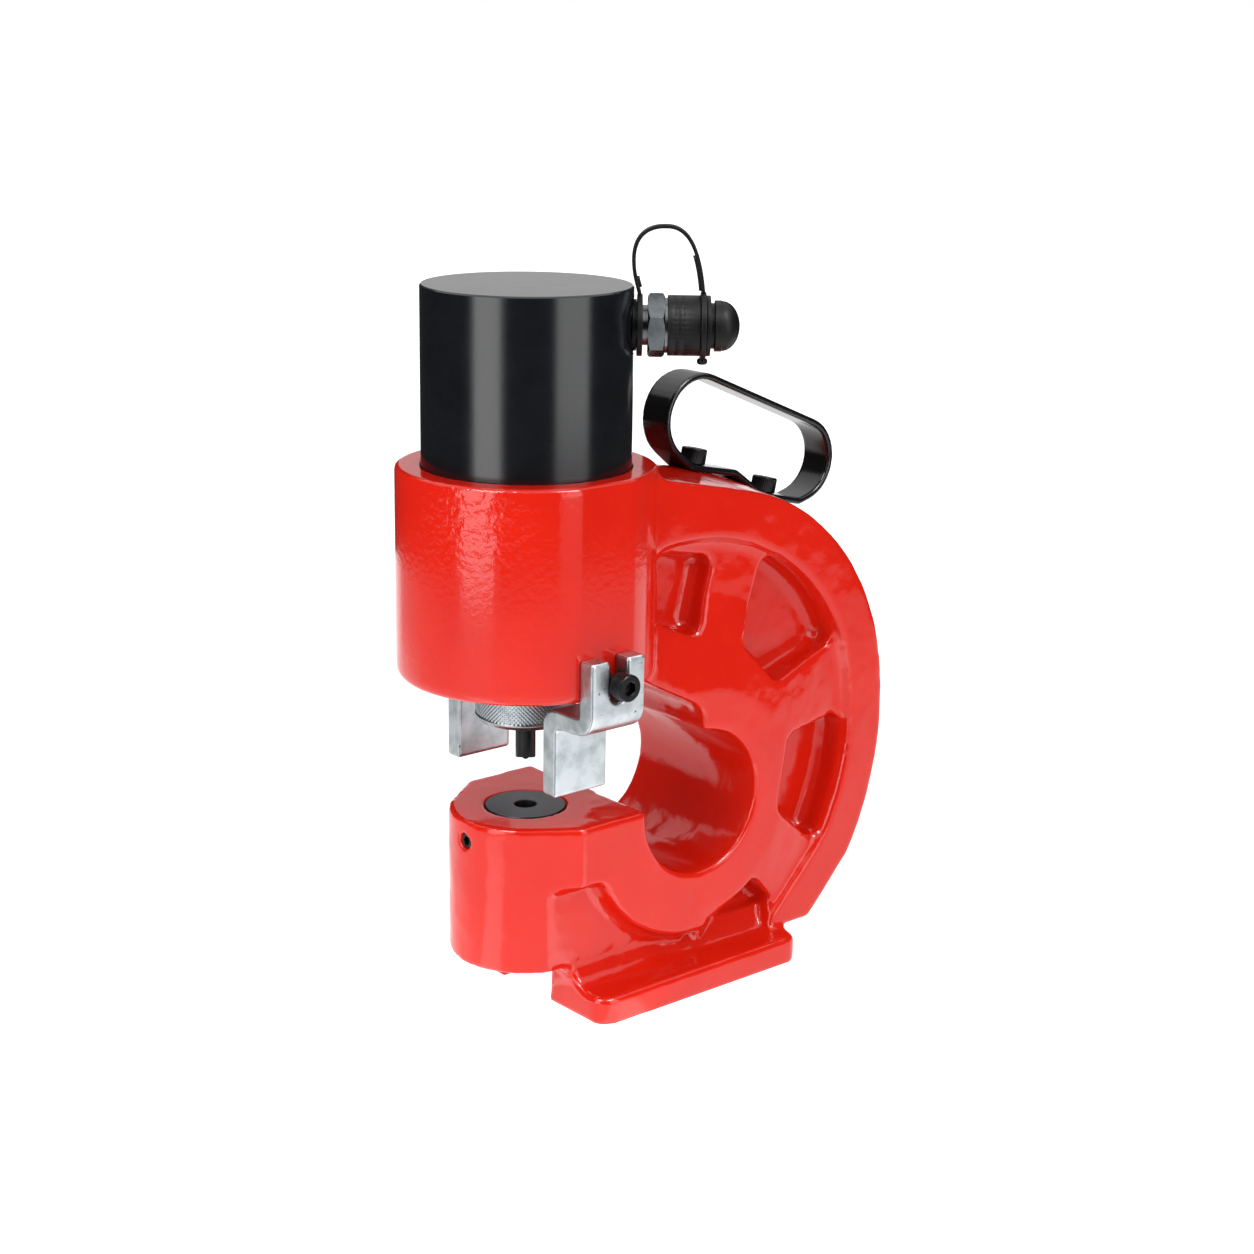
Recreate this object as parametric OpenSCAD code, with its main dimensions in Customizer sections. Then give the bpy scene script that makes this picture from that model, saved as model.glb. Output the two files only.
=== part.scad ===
/* [Frame casting] */
// Outside diameter of the round head that holds the hydraulic cylinder
head_d = 125; // [122:1:132]
// Height of the head's underside above the bench
head_bottom = 167.5; // [164:0.5:172]
// Height of the head's top face above the bench
head_top = 270; // [262:1:280]
// Radius of the rounded lower edge of the head
head_edge_r = 4.5; // [2:0.5:6]
// Thickness of the head's floor, which guides the ram
head_floor_t = 32.5; // [32:0.5:36]
// Distance across the two milled flats that carry the stripper brackets
flat_gap = 120.6; // [118.6:0.2:121]
// Thickness of the C plate between its two rim faces
web_w = 92.6; // [88:0.2:96]
// Height of the lower jaw's top face above the bench
jaw_top = 99; // [96:0.5:101]
// Height of the lower jaw's underside above the bench
jaw_bottom = 24; // [21:0.5:28]
// Radius of the lower jaw's round nose, about the punch line
jaw_nose_r = 37.7; // [36:0.1:39]
// Height of the deep upper part of the jaw
jaw_pad_h = 31; // [24:0.5:36]
// Half width of the jaw's narrower lower part
jaw_low_y = 36; // [33:0.5:39]
// Distance from the punch line to the deepest point of the throat
throat_depth = 113.4; // [110:0.2:116]
// Radius of the round throat at the plate's faces
throat_r = 37; // [35:0.2:39]
// Radius of the raised ring round the throat
ring_r = 69.5; // [66:0.5:72]
// Radius of the C's upper back at the plate's faces
back_r = 127.3; // [124:0.1:130]
// Radius of the C's lower back at the plate's faces
low_r = 152.7; // [146:0.1:158]
// Downward slope of the C's top edge behind the head, in degrees
top_slope = 12.3; // [9:0.1:14]
// Width of the raised rim along the C's back
rim_w = 24; // [20:0.5:27]
// Height of the rim above the panel inside it
rim_step = 6.3; // [4:0.1:8]
// How far the C's edge bulges at its middle plane, from the mould's draft
crown = 4.4; // [3:0.1:5]
// Half width between the floors of the cast pockets
pocket_y = 27; // [25:0.5:31]

/* [Feet] */
// Width of each half of the base, from the middle plane to its outer edge
foot_y = 60.5; // [57:0.5:64]
// Thickness of the two foot flanges
foot_t = 13.7; // [11:0.1:17]
// Length of the feet along the tool
foot_l = 135; // [128:0.1:137]
// Width of the slug channel between the feet
channel_w = 37; // [32:0.5:42]

/* [Cylinder] */
// Outside diameter of the hydraulic cylinder
cylinder_d = 100; // [96:1:102]
// Height of the cylinder's top face above the bench
cylinder_top = 354.8; // [350:0.2:362]
// Bore of the cylinder
bore_d = 80; // [76:1:82]
// Thickness of the cylinder's closed end
cap_t = 37; // [34:0.5:40]

/* [Ram and tooling] */
// Diameter of the ram's rod
rod_d = 40; // [37:0.5:42]
// Length of the piston
piston_l = 28.5; // [26:0.5:32]
// Outside diameter of the knurled punch nut
nut_d = 49.5; // [47:0.5:51]
// How far the punch nut hangs below the head
nut_drop = 23.5; // [22:0.5:25]
// Total height of the punch nut
nut_h = 28; // [27:0.5:29]
// Diameter of the punch
punch_d = 9.9; // [8:0.1:11]
// How far the punch stands out of its nut
punch_out = 20.3; // [18:0.1:22]
// Outside diameter of the die
die_d = 40; // [36:0.5:44]
// Height of the die
die_h = 32; // [29:0.5:34]
// Clearance between the punch and the die's hole, on the diameter
die_clearance = 0.9; // [0.4:0.1:1.4]
// How far the punch enters the die at the end of its stroke
punch_entry = 2.2; // [1:0.1:3]

/* [Stripper brackets] */
// Width of each stripper bracket along the tool
stripper_w = 32; // [29:0.5:33]
// Thickness of the stripper brackets' bar
stripper_t = 9.7; // [8:0.1:10.5]
// Height of the brackets' lower edge above the jaw's top face
stripper_lift = 18; // [14:0.5:22]
// Distance between the inner faces of the brackets' lower blades
blade_gap = 66.4; // [60:0.2:70]
// Width of the brackets' open slot
slot_w = 10.7; // [9.5:0.1:12]

/* [Handle] */
// Width of the handle's strap
strap_w = 20; // [17:0.5:24]
// Thickness of the handle's strap
strap_t = 3.4; // [2.8:0.1:4]
// Outer radius of the loop's end next to the cylinder
loop_front_r = 23.2; // [22.6:0.1:23.6]
// Outer radius of the loop's rear end
loop_rear_r = 22.5; // [21.8:0.1:23.1]

/* [Hose port] */
// Depth of the hose port's axis below the cylinder's top face
port_drop = 18.5; // [17:0.1:20.5]
// Turn of the hose port away from the throat's side, in degrees
port_turn = -40; // [-50:1:-30]
// Size of the coupler's hexagon across its flats
hex_af = 27; // [26:0.1:29]
// Outside diameter of the dust cap's skirt
skirt_d = 28.2; // [27:0.1:30]
// Height of the dust cap's strap above the hose port's axis
tether_h = 46.7; // [42:0.5:52]

/* [Hidden] */
$fn = 96;

// Clearances: rest is between faces that meet, run a shaft in its guide, soft a soft piece
rest_gap = 0.1;
run_gap = 0.05;
thread_gap = 0.05;
soft_gap = 0.3;
tip_room = 2;
past = 1;

// M8 cap screws: shank and head radius, head height and the socket's size and depth
m8_r = 4;
m8_head_r = 6.5;
m8_head_h = 8;
m8_socket_af = 6;
m8_socket_deep = 4;

// Frame: the head, and the arcs of the throat and the back at the plate's faces
head_r = head_d / 2;
cyl_seat = head_bottom + head_floor_t;
throat_x = throat_depth - throat_r;
throat_z = jaw_top - 3.3;
back_x = throat_x + 0.9;
back_z = throat_z + 30.7;
joint_a = 10.7;
low_x = back_x - (low_r - back_r) * cos(joint_a);
low_z = back_z - (low_r - back_r) * sin(joint_a);
low_end_a = -31;
web_start = 38;
web_y = web_w / 2;
foot_front = 0.7;
foot_back = foot_front + foot_l;
heel = [foot_back + 19.3, foot_t];
skin = 0.02;
heel_top = polar([low_x, low_z], low_r, low_end_a);
heel_run = unit(heel_top - heel);
heel_n = [heel_run[1], -heel_run[0]];
back_reach = low_x + low_r + crown;
punch_x = -(back_reach - head_r) / 2;

// The panel inside the rim: its upper edge, and the slope that sinks it towards the rim
inside_x = back_x - 11;
inside_z = back_z - 14.2;
inside_r = back_r - rim_w + 16.1;
inside_start_a = 104;
inside_end_a = 25;
inside_low_a = 17;
heel_in = 20;
panel_y = web_y - rim_step;
panel_r = 58;
panel_low_x = throat_x + 5;
pocket_inset = 1.5;
pocket_corner = 5;
small_corner = 3;

// The mouth above the jaw, and the brow that leads from the head down into the throat
brow_start = [web_start, head_bottom - 2.4];
brow_a = 27.4;
brow_x = throat_x + 0.6;
brow_r = 14;

// The jaw: its tapering sides, its deep pad and the narrower part and foot walls below
jaw_side_a = 53.8;
jaw_corner_r = 6;
jaw_low_corner_r = 12;
jaw_pad_z = jaw_top - jaw_pad_h;
jaw_back = throat_x - throat_r + 8;
fillet_r = 14;
fillet_y = jaw_low_y + fillet_r - 1;
foot_front_r = 10;
foot_rear_r = 10;

// Ram and its guide, from the head's floor upwards
rod_r = rod_d / 2;
bush_h = 19;
wiper_h = 5;
guide_r = rod_r + 5;
lip_r = rod_r + 2;
bush_bottom = cyl_seat - bush_h;
wiper_bottom = bush_bottom - wiper_h;
bore_r = bore_d / 2;
cylinder_r = cylinder_d / 2;
turned_edge = 0.8;
bore_top = cylinder_top - cap_t;
piston_top = bore_top - 0.5;
piston_bottom = piston_top - piston_l;
piston_r = bore_r - rest_gap;
groove_r = bore_r - 6;
seal_bottom = piston_bottom + 16;
seal_h = 7;
wear_bottom = piston_bottom + 5;
wear_h = 6;
wear_r = bore_r - 2.5;

// Punch, held by its nut on the ram's threaded end
nut_bottom = head_bottom - nut_drop;
nut_top = nut_bottom + nut_h;
nut_r = nut_d / 2;
nut_edge = 2.2;
nut_room = 1.75;
nut_pocket_top = nut_top + 2.4;
stud_r = rod_r - 4;
stud_bottom = nut_bottom + 14;
stud_top = nut_top + 2;
punch_r = punch_d / 2;
punch_head_r = punch_r + 4.5;
punch_seat = nut_bottom + 6;
punch_tip = nut_bottom - punch_out;
nub_r = 1.9;
nub_h = 1.2;
stroke = punch_tip - jaw_top + punch_entry;

// Die in its bore in the jaw, held by a set screw from the jaw's nose
die_bottom = jaw_top - die_h;
die_r = die_d / 2;
die_hole_r = punch_r + die_clearance / 2;
die_edge = 0.4;
die_land = 10;
die_relief_r = die_hole_r + 2;
slug_r = die_relief_r + 4;
set_screw_z = jaw_top - 11;
set_screw_tip = die_r - 2;
set_screw_end = jaw_nose_r - 1.6;
set_screw_af = 4;
set_screw_socket = 4;

// Stripper brackets: a flat bar bent twice, from the head's flat in and down to its blade
flat_y = flat_gap / 2;
plate_in = flat_y + rest_gap;
plate_out = plate_in + stripper_t;
stripper_screw_z = head_bottom + 9.5;
stripper_screw_l = 26;
plate_top = stripper_screw_z + 12;
slot_bottom = stripper_screw_z - 8.7;
shelf_bottom = head_bottom - 16.4;
shelf_top = shelf_bottom + stripper_t;
blade_in = blade_gap / 2;
blade_out = blade_in + stripper_t;
blade_bottom = jaw_top + stripper_lift;
outer_bend_r = 5;
inner_bend_r = 1.5;

// Handle: its two round ends, and the slopes of its lower side from front to rear
loop_front = [throat_x + 26.7, throat_z + 185.9];
loop_rear = [throat_x + 99.1, throat_z + 156.6];
bend_front_a = 40;
front_a = 11.5;
link_a = 36;
rear_a = 13;
bend_rear_a = -15;
loop_run = loop_rear - loop_front;
top_a = atan2(loop_run[1], loop_run[0]) + acos((loop_front_r - loop_rear_r) / norm(loop_run));
under_front = polar(loop_front, loop_front_r, 270 - bend_front_a);
under_rear = polar(loop_rear, loop_rear_r, 270 - bend_rear_a);
seat_sunk = 1;
seat_raised = 0.6;
seat_front = ridge(throat_x + 29) - [0, seat_sunk];
seat_rear = ridge(throat_x + 78.6) + [0, seat_raised];
kink = on_line(seat_front, front_a, throat_x + 51.6);
pad_r = 9;
pad_deep = 12;
handle_screw_l = 16;
screw_room = 0.5;

// Hose port and coupler, as distances from the cylinder's axis outwards
port_z = cylinder_top - port_drop;
spot_s = cylinder_r - 1;
spot_r = 13.5;
port_r = 8.4;
port_in = spot_s - 14.5;
nipple_in = port_in + 1;
nipple_bore_r = 3.5;
drill_r = 3;
drill_in = 20;
seal_washer_r = 12;
seal_washer_t = 2;
neck_r = 9.4;
ring_in_s = spot_s + seal_washer_t + 0.2;
ring_t = 2.6;
hex_s = ring_in_s + 5;
hex_l = 8;
hex_r = hex_af / sqrt(3);
hex_turn = 10;
rim_l = 1.1;
rim_r = 12.8;
nose_s = hex_s + hex_l + rim_l;
nose_l = 14.5;
nose_r = 11.4;
nipple_end = nose_s - 0.5;
chamber_r = 6.5;
seat_s = nose_s + 11.5;
mouth_r = 4;
poppet_r = 5.9;
poppet_l = 4;
poppet_tip_r = 3.4;
skirt_s = nose_s + 0.2;
skirt_r = skirt_d / 2;
ring_out_s = nose_s + 15.5;
groove_bottom_r = 11.2;
flange_s = ring_out_s + ring_t + rest_gap;
flange_l = 2;
cap_neck_l = 1.8;
cap_neck_r = 10.6;
dome_r = 12;
cap_floor_s = nose_s + nose_l + 0.4;

// Dust cap's strap: its two rings, and the arch between them
tether_w = 6;
tether_t = 1.8;
tether_ring_r = 14.5;
tether_cap_r = 15.7;
tether_tail_l = 18.3;
ring_in_mid = ring_in_s + ring_t / 2;
ring_out_mid = ring_out_s + ring_t / 2;
arch_h = tether_h - tether_t / 2;
arch_s = (ring_in_mid + ring_out_mid) / 2 - 3.7;
arch = concat(
    bezier([[ring_in_mid, tether_ring_r - 2], [ring_in_mid, 16], [ring_in_mid - 2.6, 21],
        [ring_in_mid - 3, 28]], 6),
    bezier([[ring_in_mid - 3.1, 30.5], [ring_in_mid - 3.1, 41], [ring_in_mid + 2.6, arch_h],
        [arch_s, arch_h]], 12),
    bezier([[arch_s + 1, arch_h], [arch_s + 10, arch_h], [ring_out_mid - 2.2, arch_h - 8],
        [ring_out_mid, tether_cap_r - 2]], 14));

// Springs: wire diameter, mean radius and turns, with 8 rings of 6 corners to a turn
coil_sides = 6;
coil_rings = 8;
spring_wire = 6;
spring_r = rod_r + 9;
spring_turns = 8;
spring_low = cyl_seat + soft_gap + spring_wire / 2;
spring_high = piston_bottom - soft_gap - spring_wire / 2;
small_wire = 0.9;
small_r = 4.3;
small_turns = 3;
small_low = nipple_end + soft_gap + small_wire / 2;
small_high = seat_s - poppet_l - soft_gap - small_wire / 2;

// Outlines of the cast hollows between the spokes, measured from the throat's centre
hollow_high = [[-44, 134], [9, 124.5], [-1, 85], [-44, 101]];
hollow_back = [[43, 118.5], [28.5, 75.5], [52, 52.5], [97, 66.5], [125, 78], [90, 130]];
hollow_mid = [[60.5, 22.5], [98, 26], [125, 10], [110, -60], [85.5, -41.5], [53.5, -16.5]];
hollow_low = [[4, -71], [20, -66.7], [38, -50], [54, -66]];

function unit(v) = v / norm(v);
function polar(c, r, a) = [c[0] + r * cos(a), c[1] + r * sin(a)];
function arc(c, r, a0, a1, n) = [for (i = [0:n]) polar(c, r, a0 + (a1 - a0) * i / n)];
function bezier(p, n) = [for (i = [0:n]) let(t = i / n, u = 1 - t)
    u * u * u * p[0] + 3 * t * u * u * p[1] + 3 * t * t * u * p[2] + t * t * t * p[3]];
function reversed(p) = [for (i = [len(p) - 1:-1:0]) p[i]];
function flipped(p) = [for (q = reversed(p)) [q[0], -q[1]]];

// The arc that rounds the corner p between its neighbours a and b
function corner(a, p, b, r, n = 6) = let(u = unit(a - p), v = unit(b - p),
    half = acos(u * v) / 2,
    mid = p + unit(u + v) * r / sin(half),
    from = p + u * r / tan(half) - mid,
    to = p + v * r / tan(half) - mid,
    a0 = atan2(from[1], from[0]),
    sweep = (atan2(to[1], to[0]) - a0 + 540) % 360 - 180)
    arc(mid, r, a0, a0 + sweep, n);
function rounded(p, r, n = 6) = let(m = len(p))
    [for (i = [0:m - 1]) each corner(p[(i + m - 1) % m], p[i], p[(i + 1) % m], r, n)];

// Side view of the C plate, grown by the bulge at its middle plane
function c_outline(grow) = let(r = back_r + grow, top = polar([back_x, back_z], r, 90 - top_slope))
    concat([[web_start, top[1] + (top[0] - web_start) * tan(top_slope)]],
        arc([back_x, back_z], r, 90 - top_slope, joint_a, 18),
        arc([low_x, low_z], low_r + grow, joint_a, low_end_a, 12),
        [heel + heel_n * grow, [foot_back, 0], [web_start, 0]]);
// The point on the edge's middle line at x, above the upper back
function ridge(x) = [x, back_z + sqrt(pow(back_r + crown, 2) - pow(x - back_x, 2))];
function panel_outline(inset) = concat(
    arc([inside_x, inside_z], inside_r - inset, inside_start_a, inside_end_a, 14),
    arc([low_x, low_z], low_r - rim_w - inset, inside_low_a, low_end_a, 9),
    [heel - heel_n * (rim_w + inset) - heel_run * heel_in, [panel_low_x, foot_t],
        [throat_x, throat_z], [web_start, throat_z]]);
brow = [brow_x, brow_start[1] - (brow_x - brow_start[0]) * tan(brow_a)];
mouth = concat([[-head_d, jaw_top], [brow_x, jaw_top]],
    corner([brow_x, jaw_top], brow, brow_start, brow_r),
    [brow_start, [-head_d, brow_start[1]]]);
function jaw_corner(y) = [(y * sin(jaw_side_a) - jaw_nose_r) / cos(jaw_side_a), y];
function jaw_side(y, r, back) = concat([[back, y]],
    corner([back, y], jaw_corner(y), polar([0, 0], jaw_nose_r, 180 - jaw_side_a), r));
function jaw_plan(y, r, back) = concat(jaw_side(y, r, back),
    arc([0, 0], jaw_nose_r, 180 - jaw_side_a, 180 + jaw_side_a, 24),
    flipped(jaw_side(y, r, back)));

// Lines of the handle's lower side, each raised square to itself by up
function raise(a, up) = up * [sin(a), cos(a)];
function on_line(p, a, x) = [x, p[1] - (x - p[0]) * tan(a)];
function crossing(p, a, q, b) = on_line(p, a,
    (q[1] - p[1] + q[0] * tan(b) - p[0] * tan(a)) / (tan(b) - tan(a)));
function bend(up, p, a, q, b) = crossing(p + raise(a, up), a, q + raise(b, up), b);
function lower_side(up) = [
    bend(up, under_front, bend_front_a, seat_front, front_a),
    bend(up, seat_front, front_a, kink, link_a),
    bend(up, kink, link_a, seat_rear, rear_a),
    bend(up, seat_rear, rear_a, under_rear, bend_rear_a)];
function loop_outline(up) = concat(
    arc(loop_front, loop_front_r - up, top_a, 270 - bend_front_a, 16), lower_side(up),
    arc(loop_rear, loop_rear_r - up, 270 - bend_rear_a, 360 + top_a, 16));
handle_room = concat([under_front - raise(bend_front_a, rest_gap)], lower_side(-rest_gap),
    [under_rear - raise(bend_rear_a, rest_gap), under_rear + [0, head_d],
        under_front + [0, head_d]]);

// Points beside a path, d to its left
function heading(p, i) = unit(p[min(i + 1, len(p) - 1)] - p[max(i - 1, 0)]);
function beside(p, d) = [for (i = [0:len(p) - 1]) let(h = heading(p, i))
    p[i] + d * [-h[1], h[0]]];

// A coil about +Z: its middle line, its rings of points and the faces between them
function coil_at(r, z0, z1, turns, t) = [r * cos(360 * turns * t), r * sin(360 * turns * t),
    z0 + (z1 - z0) * t];
function coil_points(r, z0, z1, turns, wire) = let(n = turns * coil_rings,
    rise = atan2(z1 - z0, 2 * PI * r * turns))
    [for (i = [0:n]) let(a = 360 * i / coil_rings, c = coil_at(r, z0, z1, turns, i / n))
        for (k = [0:coil_sides - 1]) let(b = 360 * k / coil_sides,
            e = wire / 2 * cos(b), f = wire / 2 * sin(b))
            c + [e * cos(a) + f * sin(rise) * sin(a), e * sin(a) - f * sin(rise) * cos(a),
                f * cos(rise)]];
function coil_faces(turns) = let(n = turns * coil_rings, s = coil_sides) concat(
    [[for (k = [0:s - 1]) k]], [[for (k = [s - 1:-1:0]) n * s + k]],
    [for (i = [0:n - 1]) for (k = [0:s - 1]) let(a = i * s + k, b = i * s + (k + 1) % s)
        each [[a, a + s, b], [b, a + s, b + s]]]);
function least_gap(r, z0, z1, turns, wire) = let(n = turns * coil_rings)
    min([for (i = [0:n - coil_rings]) for (j = [coil_rings - 2:coil_rings + 2])
        norm(coil_at(r, z0, z1, turns, i / n) - coil_at(r, z0, z1, turns, (i + j) / n))]) - wire;

echo(return_spring_gap = least_gap(spring_r, spring_low, spring_high, spring_turns,
    spring_wire));
echo(return_spring_gap_at_full_stroke = least_gap(spring_r, spring_low, spring_high - stroke,
    spring_turns, spring_wire));
echo(poppet_spring_gap = least_gap(small_r, small_low, small_high, small_turns, small_wire));
echo(stroke = stroke, punch_x = punch_x);

// The whole tool stands with its base's middle over the origin
module at_punch() {
    translate([punch_x, 0, 0]) children();
}

// Points a part drawn along +Z out along the hose port
module along_port() {
    at_punch() rotate([0, 0, port_turn]) translate([0, 0, port_z]) rotate([0, 90, 0])
        children();
}

// Stands a side view upright, centred on the tool's middle plane
module upright(w) {
    rotate([90, 0, 0]) linear_extrude(w, center = true) children();
}

module both_sides() {
    children();
    mirror([0, 1, 0]) children();
}

module rod(r, z0, z1) {
    translate([0, 0, z0]) cylinder(r = r, h = z1 - z0);
}

module tube(r_out, r_in, z0, z1) {
    rotate_extrude() translate([r_in, z0]) square([r_out - r_in, z1 - z0]);
}

// An M8 cap screw, with the underside of its head at the origin
module cap_screw(shank_l) {
    difference() {
        union() {
            rod(m8_r - thread_gap, -shank_l, past);
            rod(m8_head_r, 0, m8_head_h);
        }
        translate([0, 0, m8_head_h - m8_socket_deep])
            cylinder(r = m8_socket_af / sqrt(3), h = m8_socket_deep + past, $fn = 6);
    }
}

module plate_layer(grow, y) {
    translate([0, y, 0]) upright(skin) polygon(c_outline(grow));
}

// The C plate, thickest along its middle plane, where the mould parted
module c_plate() {
    face = web_y - skin / 2;
    difference() {
        hull() {
            plate_layer(0, face);
            plate_layer(crown, 0);
            plate_layer(0, -face);
        }
        translate([foot_back, -web_w, -past]) cube([foot_l, 2 * web_w, foot_t + past]);
    }
}

// A ring round the throat that carries the plate's face on to the jaw
module throat_ring() {
    intersection() {
        translate([throat_x, 0, throat_z]) upright(web_w) circle(r = ring_r);
        translate([throat_x - ring_r, -web_w, foot_t])
            cube([ring_r, 2 * web_w, jaw_top - foot_t]);
    }
}

// Sinks the panel inside the rim, a little deeper towards the rim than by the throat
module panel_cut() {
    fall_r = back_r - rim_w;
    intersection() {
        translate([0, -panel_y + past, 0]) rotate([90, 0, 0]) linear_extrude(web_y)
            polygon(panel_outline(0));
        translate([throat_x, 0, throat_z]) rotate([90, 0, 0]) rotate_extrude()
            polygon([[panel_r, web_y], [fall_r, panel_y], [2 * fall_r, panel_y],
                [2 * fall_r, web_w], [panel_r, web_w]]);
    }
}

module hollow(p, r) {
    translate([0, -pocket_y, 0]) rotate([90, 0, 0]) linear_extrude(web_y) intersection() {
        translate([throat_x, throat_z]) polygon(rounded(p, r));
        polygon(panel_outline(pocket_inset));
    }
}

// The flank below the jaw's pad, outside the ring round the throat
module belly_cut() {
    translate([0, -jaw_low_y, 0]) rotate([90, 0, 0]) linear_extrude(web_y) difference() {
        translate([-head_d, foot_t]) square([head_d + panel_low_x, jaw_pad_z - foot_t]);
        translate([throat_x, throat_z]) circle(r = ring_r);
    }
}

module flank_cuts() {
    panel_cut();
    hollow(hollow_high, pocket_corner);
    hollow(hollow_back, pocket_corner);
    hollow(hollow_mid, pocket_corner);
    hollow(hollow_low, small_corner);
    belly_cut();
}

module jaw() {
    translate([0, 0, jaw_pad_z]) linear_extrude(jaw_pad_h)
        polygon(jaw_plan(web_y, jaw_corner_r, jaw_back));
    translate([0, 0, jaw_bottom]) linear_extrude(jaw_top - jaw_bottom - past)
        polygon(jaw_plan(jaw_low_y, jaw_low_corner_r, web_start + past));
    translate([foot_front, -jaw_low_y, 0])
        cube([web_start, 2 * jaw_low_y, jaw_top - past]);
}

module feet() {
    linear_extrude(foot_t) both_sides() polygon(concat(
        corner([foot_back, -foot_y], [foot_front, -foot_y], [foot_front, 0], foot_front_r),
        [[foot_front, 0], [foot_back, 0]],
        corner([foot_back, 0], [foot_back, -foot_y], [foot_front, -foot_y], foot_rear_r)));
    both_sides() translate([foot_front, 0, 0]) rotate([90, 0, 90]) linear_extrude(foot_l)
        polygon(concat([[0, foot_t - past], [0, foot_t + fillet_r]],
            arc([-fillet_y, foot_t + fillet_r], fillet_r, 0, -90, 8),
            [[-fillet_y, foot_t - past]]));
}

module head_barrel() {
    rotate_extrude() polygon(concat([[0, head_bottom]],
        arc([head_r - head_edge_r, head_bottom + head_edge_r], head_edge_r, -90, 0, 8),
        [[head_r, head_top - turned_edge], [head_r - turned_edge, head_top],
            [0, head_top]]));
}

// Faces a part drawn along +Z square to the handle's lower side
module on_seat(seat, a) {
    translate([seat[0], 0, seat[1]]) rotate([0, a, 0]) children();
}

module raw_casting() {
    difference() {
        union() {
            difference() {
                union() {
                    c_plate();
                    throat_ring();
                }
                both_sides() flank_cuts();
            }
            jaw();
            feet();
        }
        upright(2 * web_w) polygon(mouth);
        translate([throat_x, 0, throat_z]) upright(2 * web_w) circle(r = throat_r);
        translate([-past, -channel_w / 2, -past])
            cube([foot_back + 2 * past, channel_w, jaw_bottom + past]);
    }
    head_barrel();
    on_seat(seat_front, front_a) rod(pad_r, -pad_deep, past);
    on_seat(seat_rear, rear_a) rod(pad_r, -pad_deep, past);
}

module frame() {
    color("#E0352B") at_punch() difference() {
        raw_casting();
        upright(2 * pad_r + strap_w) polygon(handle_room);
        rod(cylinder_r + thread_gap, cyl_seat, head_top + past);
        rod(guide_r + run_gap, wiper_bottom, cyl_seat + past);
        rod(lip_r, nut_pocket_top - past, wiper_bottom + past);
        rod(nut_r + nut_room, head_bottom - past, nut_pocket_top);
        rod(die_r + run_gap, die_bottom, jaw_top + past);
        rod(slug_r, jaw_bottom - past, die_bottom + past);
        translate([-head_d, 0, set_screw_z]) rotate([0, 90, 0])
            rod(m8_r + thread_gap, 0, head_d - die_r + past);
        both_sides() {
            translate([-head_r, -head_d - flat_y, head_bottom - past])
                cube([head_d, head_d, head_top - head_bottom + 2 * past]);
            translate([0, -plate_out, stripper_screw_z]) rotate([90, 0, 0])
                rod(m8_r + thread_gap, -stripper_screw_l - tip_room, past);
        }
        on_seat(seat_front, front_a) rod(m8_r + thread_gap, -handle_screw_l - tip_room, past);
        on_seat(seat_rear, rear_a) rod(m8_r + thread_gap, -handle_screw_l - tip_room, past);
    }
}

module cylinder_tube() {
    edge_r = cylinder_r - turned_edge;
    color("#1C1C1E") difference() {
        at_punch() rotate_extrude() polygon([[bore_r, cyl_seat + run_gap],
            [cylinder_r, cyl_seat + run_gap], [cylinder_r, cylinder_top - turned_edge],
            [edge_r, cylinder_top], [0, cylinder_top], [0, bore_top], [bore_r, bore_top]]);
        along_port() {
            rod(port_r + thread_gap, port_in, cylinder_d);
            rod(spot_r, spot_s, cylinder_d);
            rod(drill_r, drill_in, port_in + past);
        }
        at_punch() rotate([0, 0, port_turn]) translate([drill_in + drill_r, 0, 0])
            rod(drill_r, bore_top - past, port_z);
    }
}

module ram() {
    color("#C4C7CA") at_punch() rotate_extrude() polygon([[0, stud_bottom],
        [stud_r - thread_gap, stud_bottom], [stud_r - thread_gap, stud_top],
        [rod_r, stud_top + rod_r - stud_r], [rod_r, piston_bottom], [piston_r, piston_bottom],
        [piston_r, wear_bottom], [wear_r, wear_bottom], [wear_r, wear_bottom + wear_h],
        [piston_r, wear_bottom + wear_h], [piston_r, seal_bottom], [groove_r, seal_bottom],
        [groove_r, seal_bottom + seal_h], [piston_r, seal_bottom + seal_h],
        [piston_r, piston_top], [0, piston_top]]);
}

module piston_seal() {
    lip = 1.6;
    r_in = groove_r + run_gap;
    r_out = bore_r - run_gap;
    z0 = seal_bottom + rest_gap;
    z1 = seal_bottom + seal_h - rest_gap;
    color("#3A6EA5") at_punch() rotate_extrude() polygon([[r_in, z0], [r_out, z0],
        [r_out, z1], [r_out - lip, z1], [(r_in + r_out) / 2, (z0 + z1) / 2],
        [r_in + lip, z1], [r_in, z1]]);
}

module piston_wear_ring() {
    color("#7A5A33") at_punch() tube(bore_r - run_gap, wear_r + run_gap,
        wear_bottom + rest_gap, wear_bottom + wear_h - rest_gap);
}

module return_spring() {
    color("#55585C") at_punch() polyhedron(
        coil_points(spring_r, spring_low, spring_high, spring_turns, spring_wire),
        coil_faces(spring_turns));
}

module guide_bush() {
    color("#B08A45") at_punch() tube(guide_r, rod_r + run_gap, bush_bottom, cyl_seat);
}

module wiper_seal() {
    lip = 1.4;
    r_in = rod_r + run_gap;
    top = bush_bottom - rest_gap;
    color("#26282B") at_punch() rotate_extrude() polygon([[r_in, top - lip], [r_in, top],
        [guide_r, top], [guide_r, wiper_bottom], [r_in + 2 * lip, wiper_bottom],
        [r_in + 2 * lip, top - lip]]);
}

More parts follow.
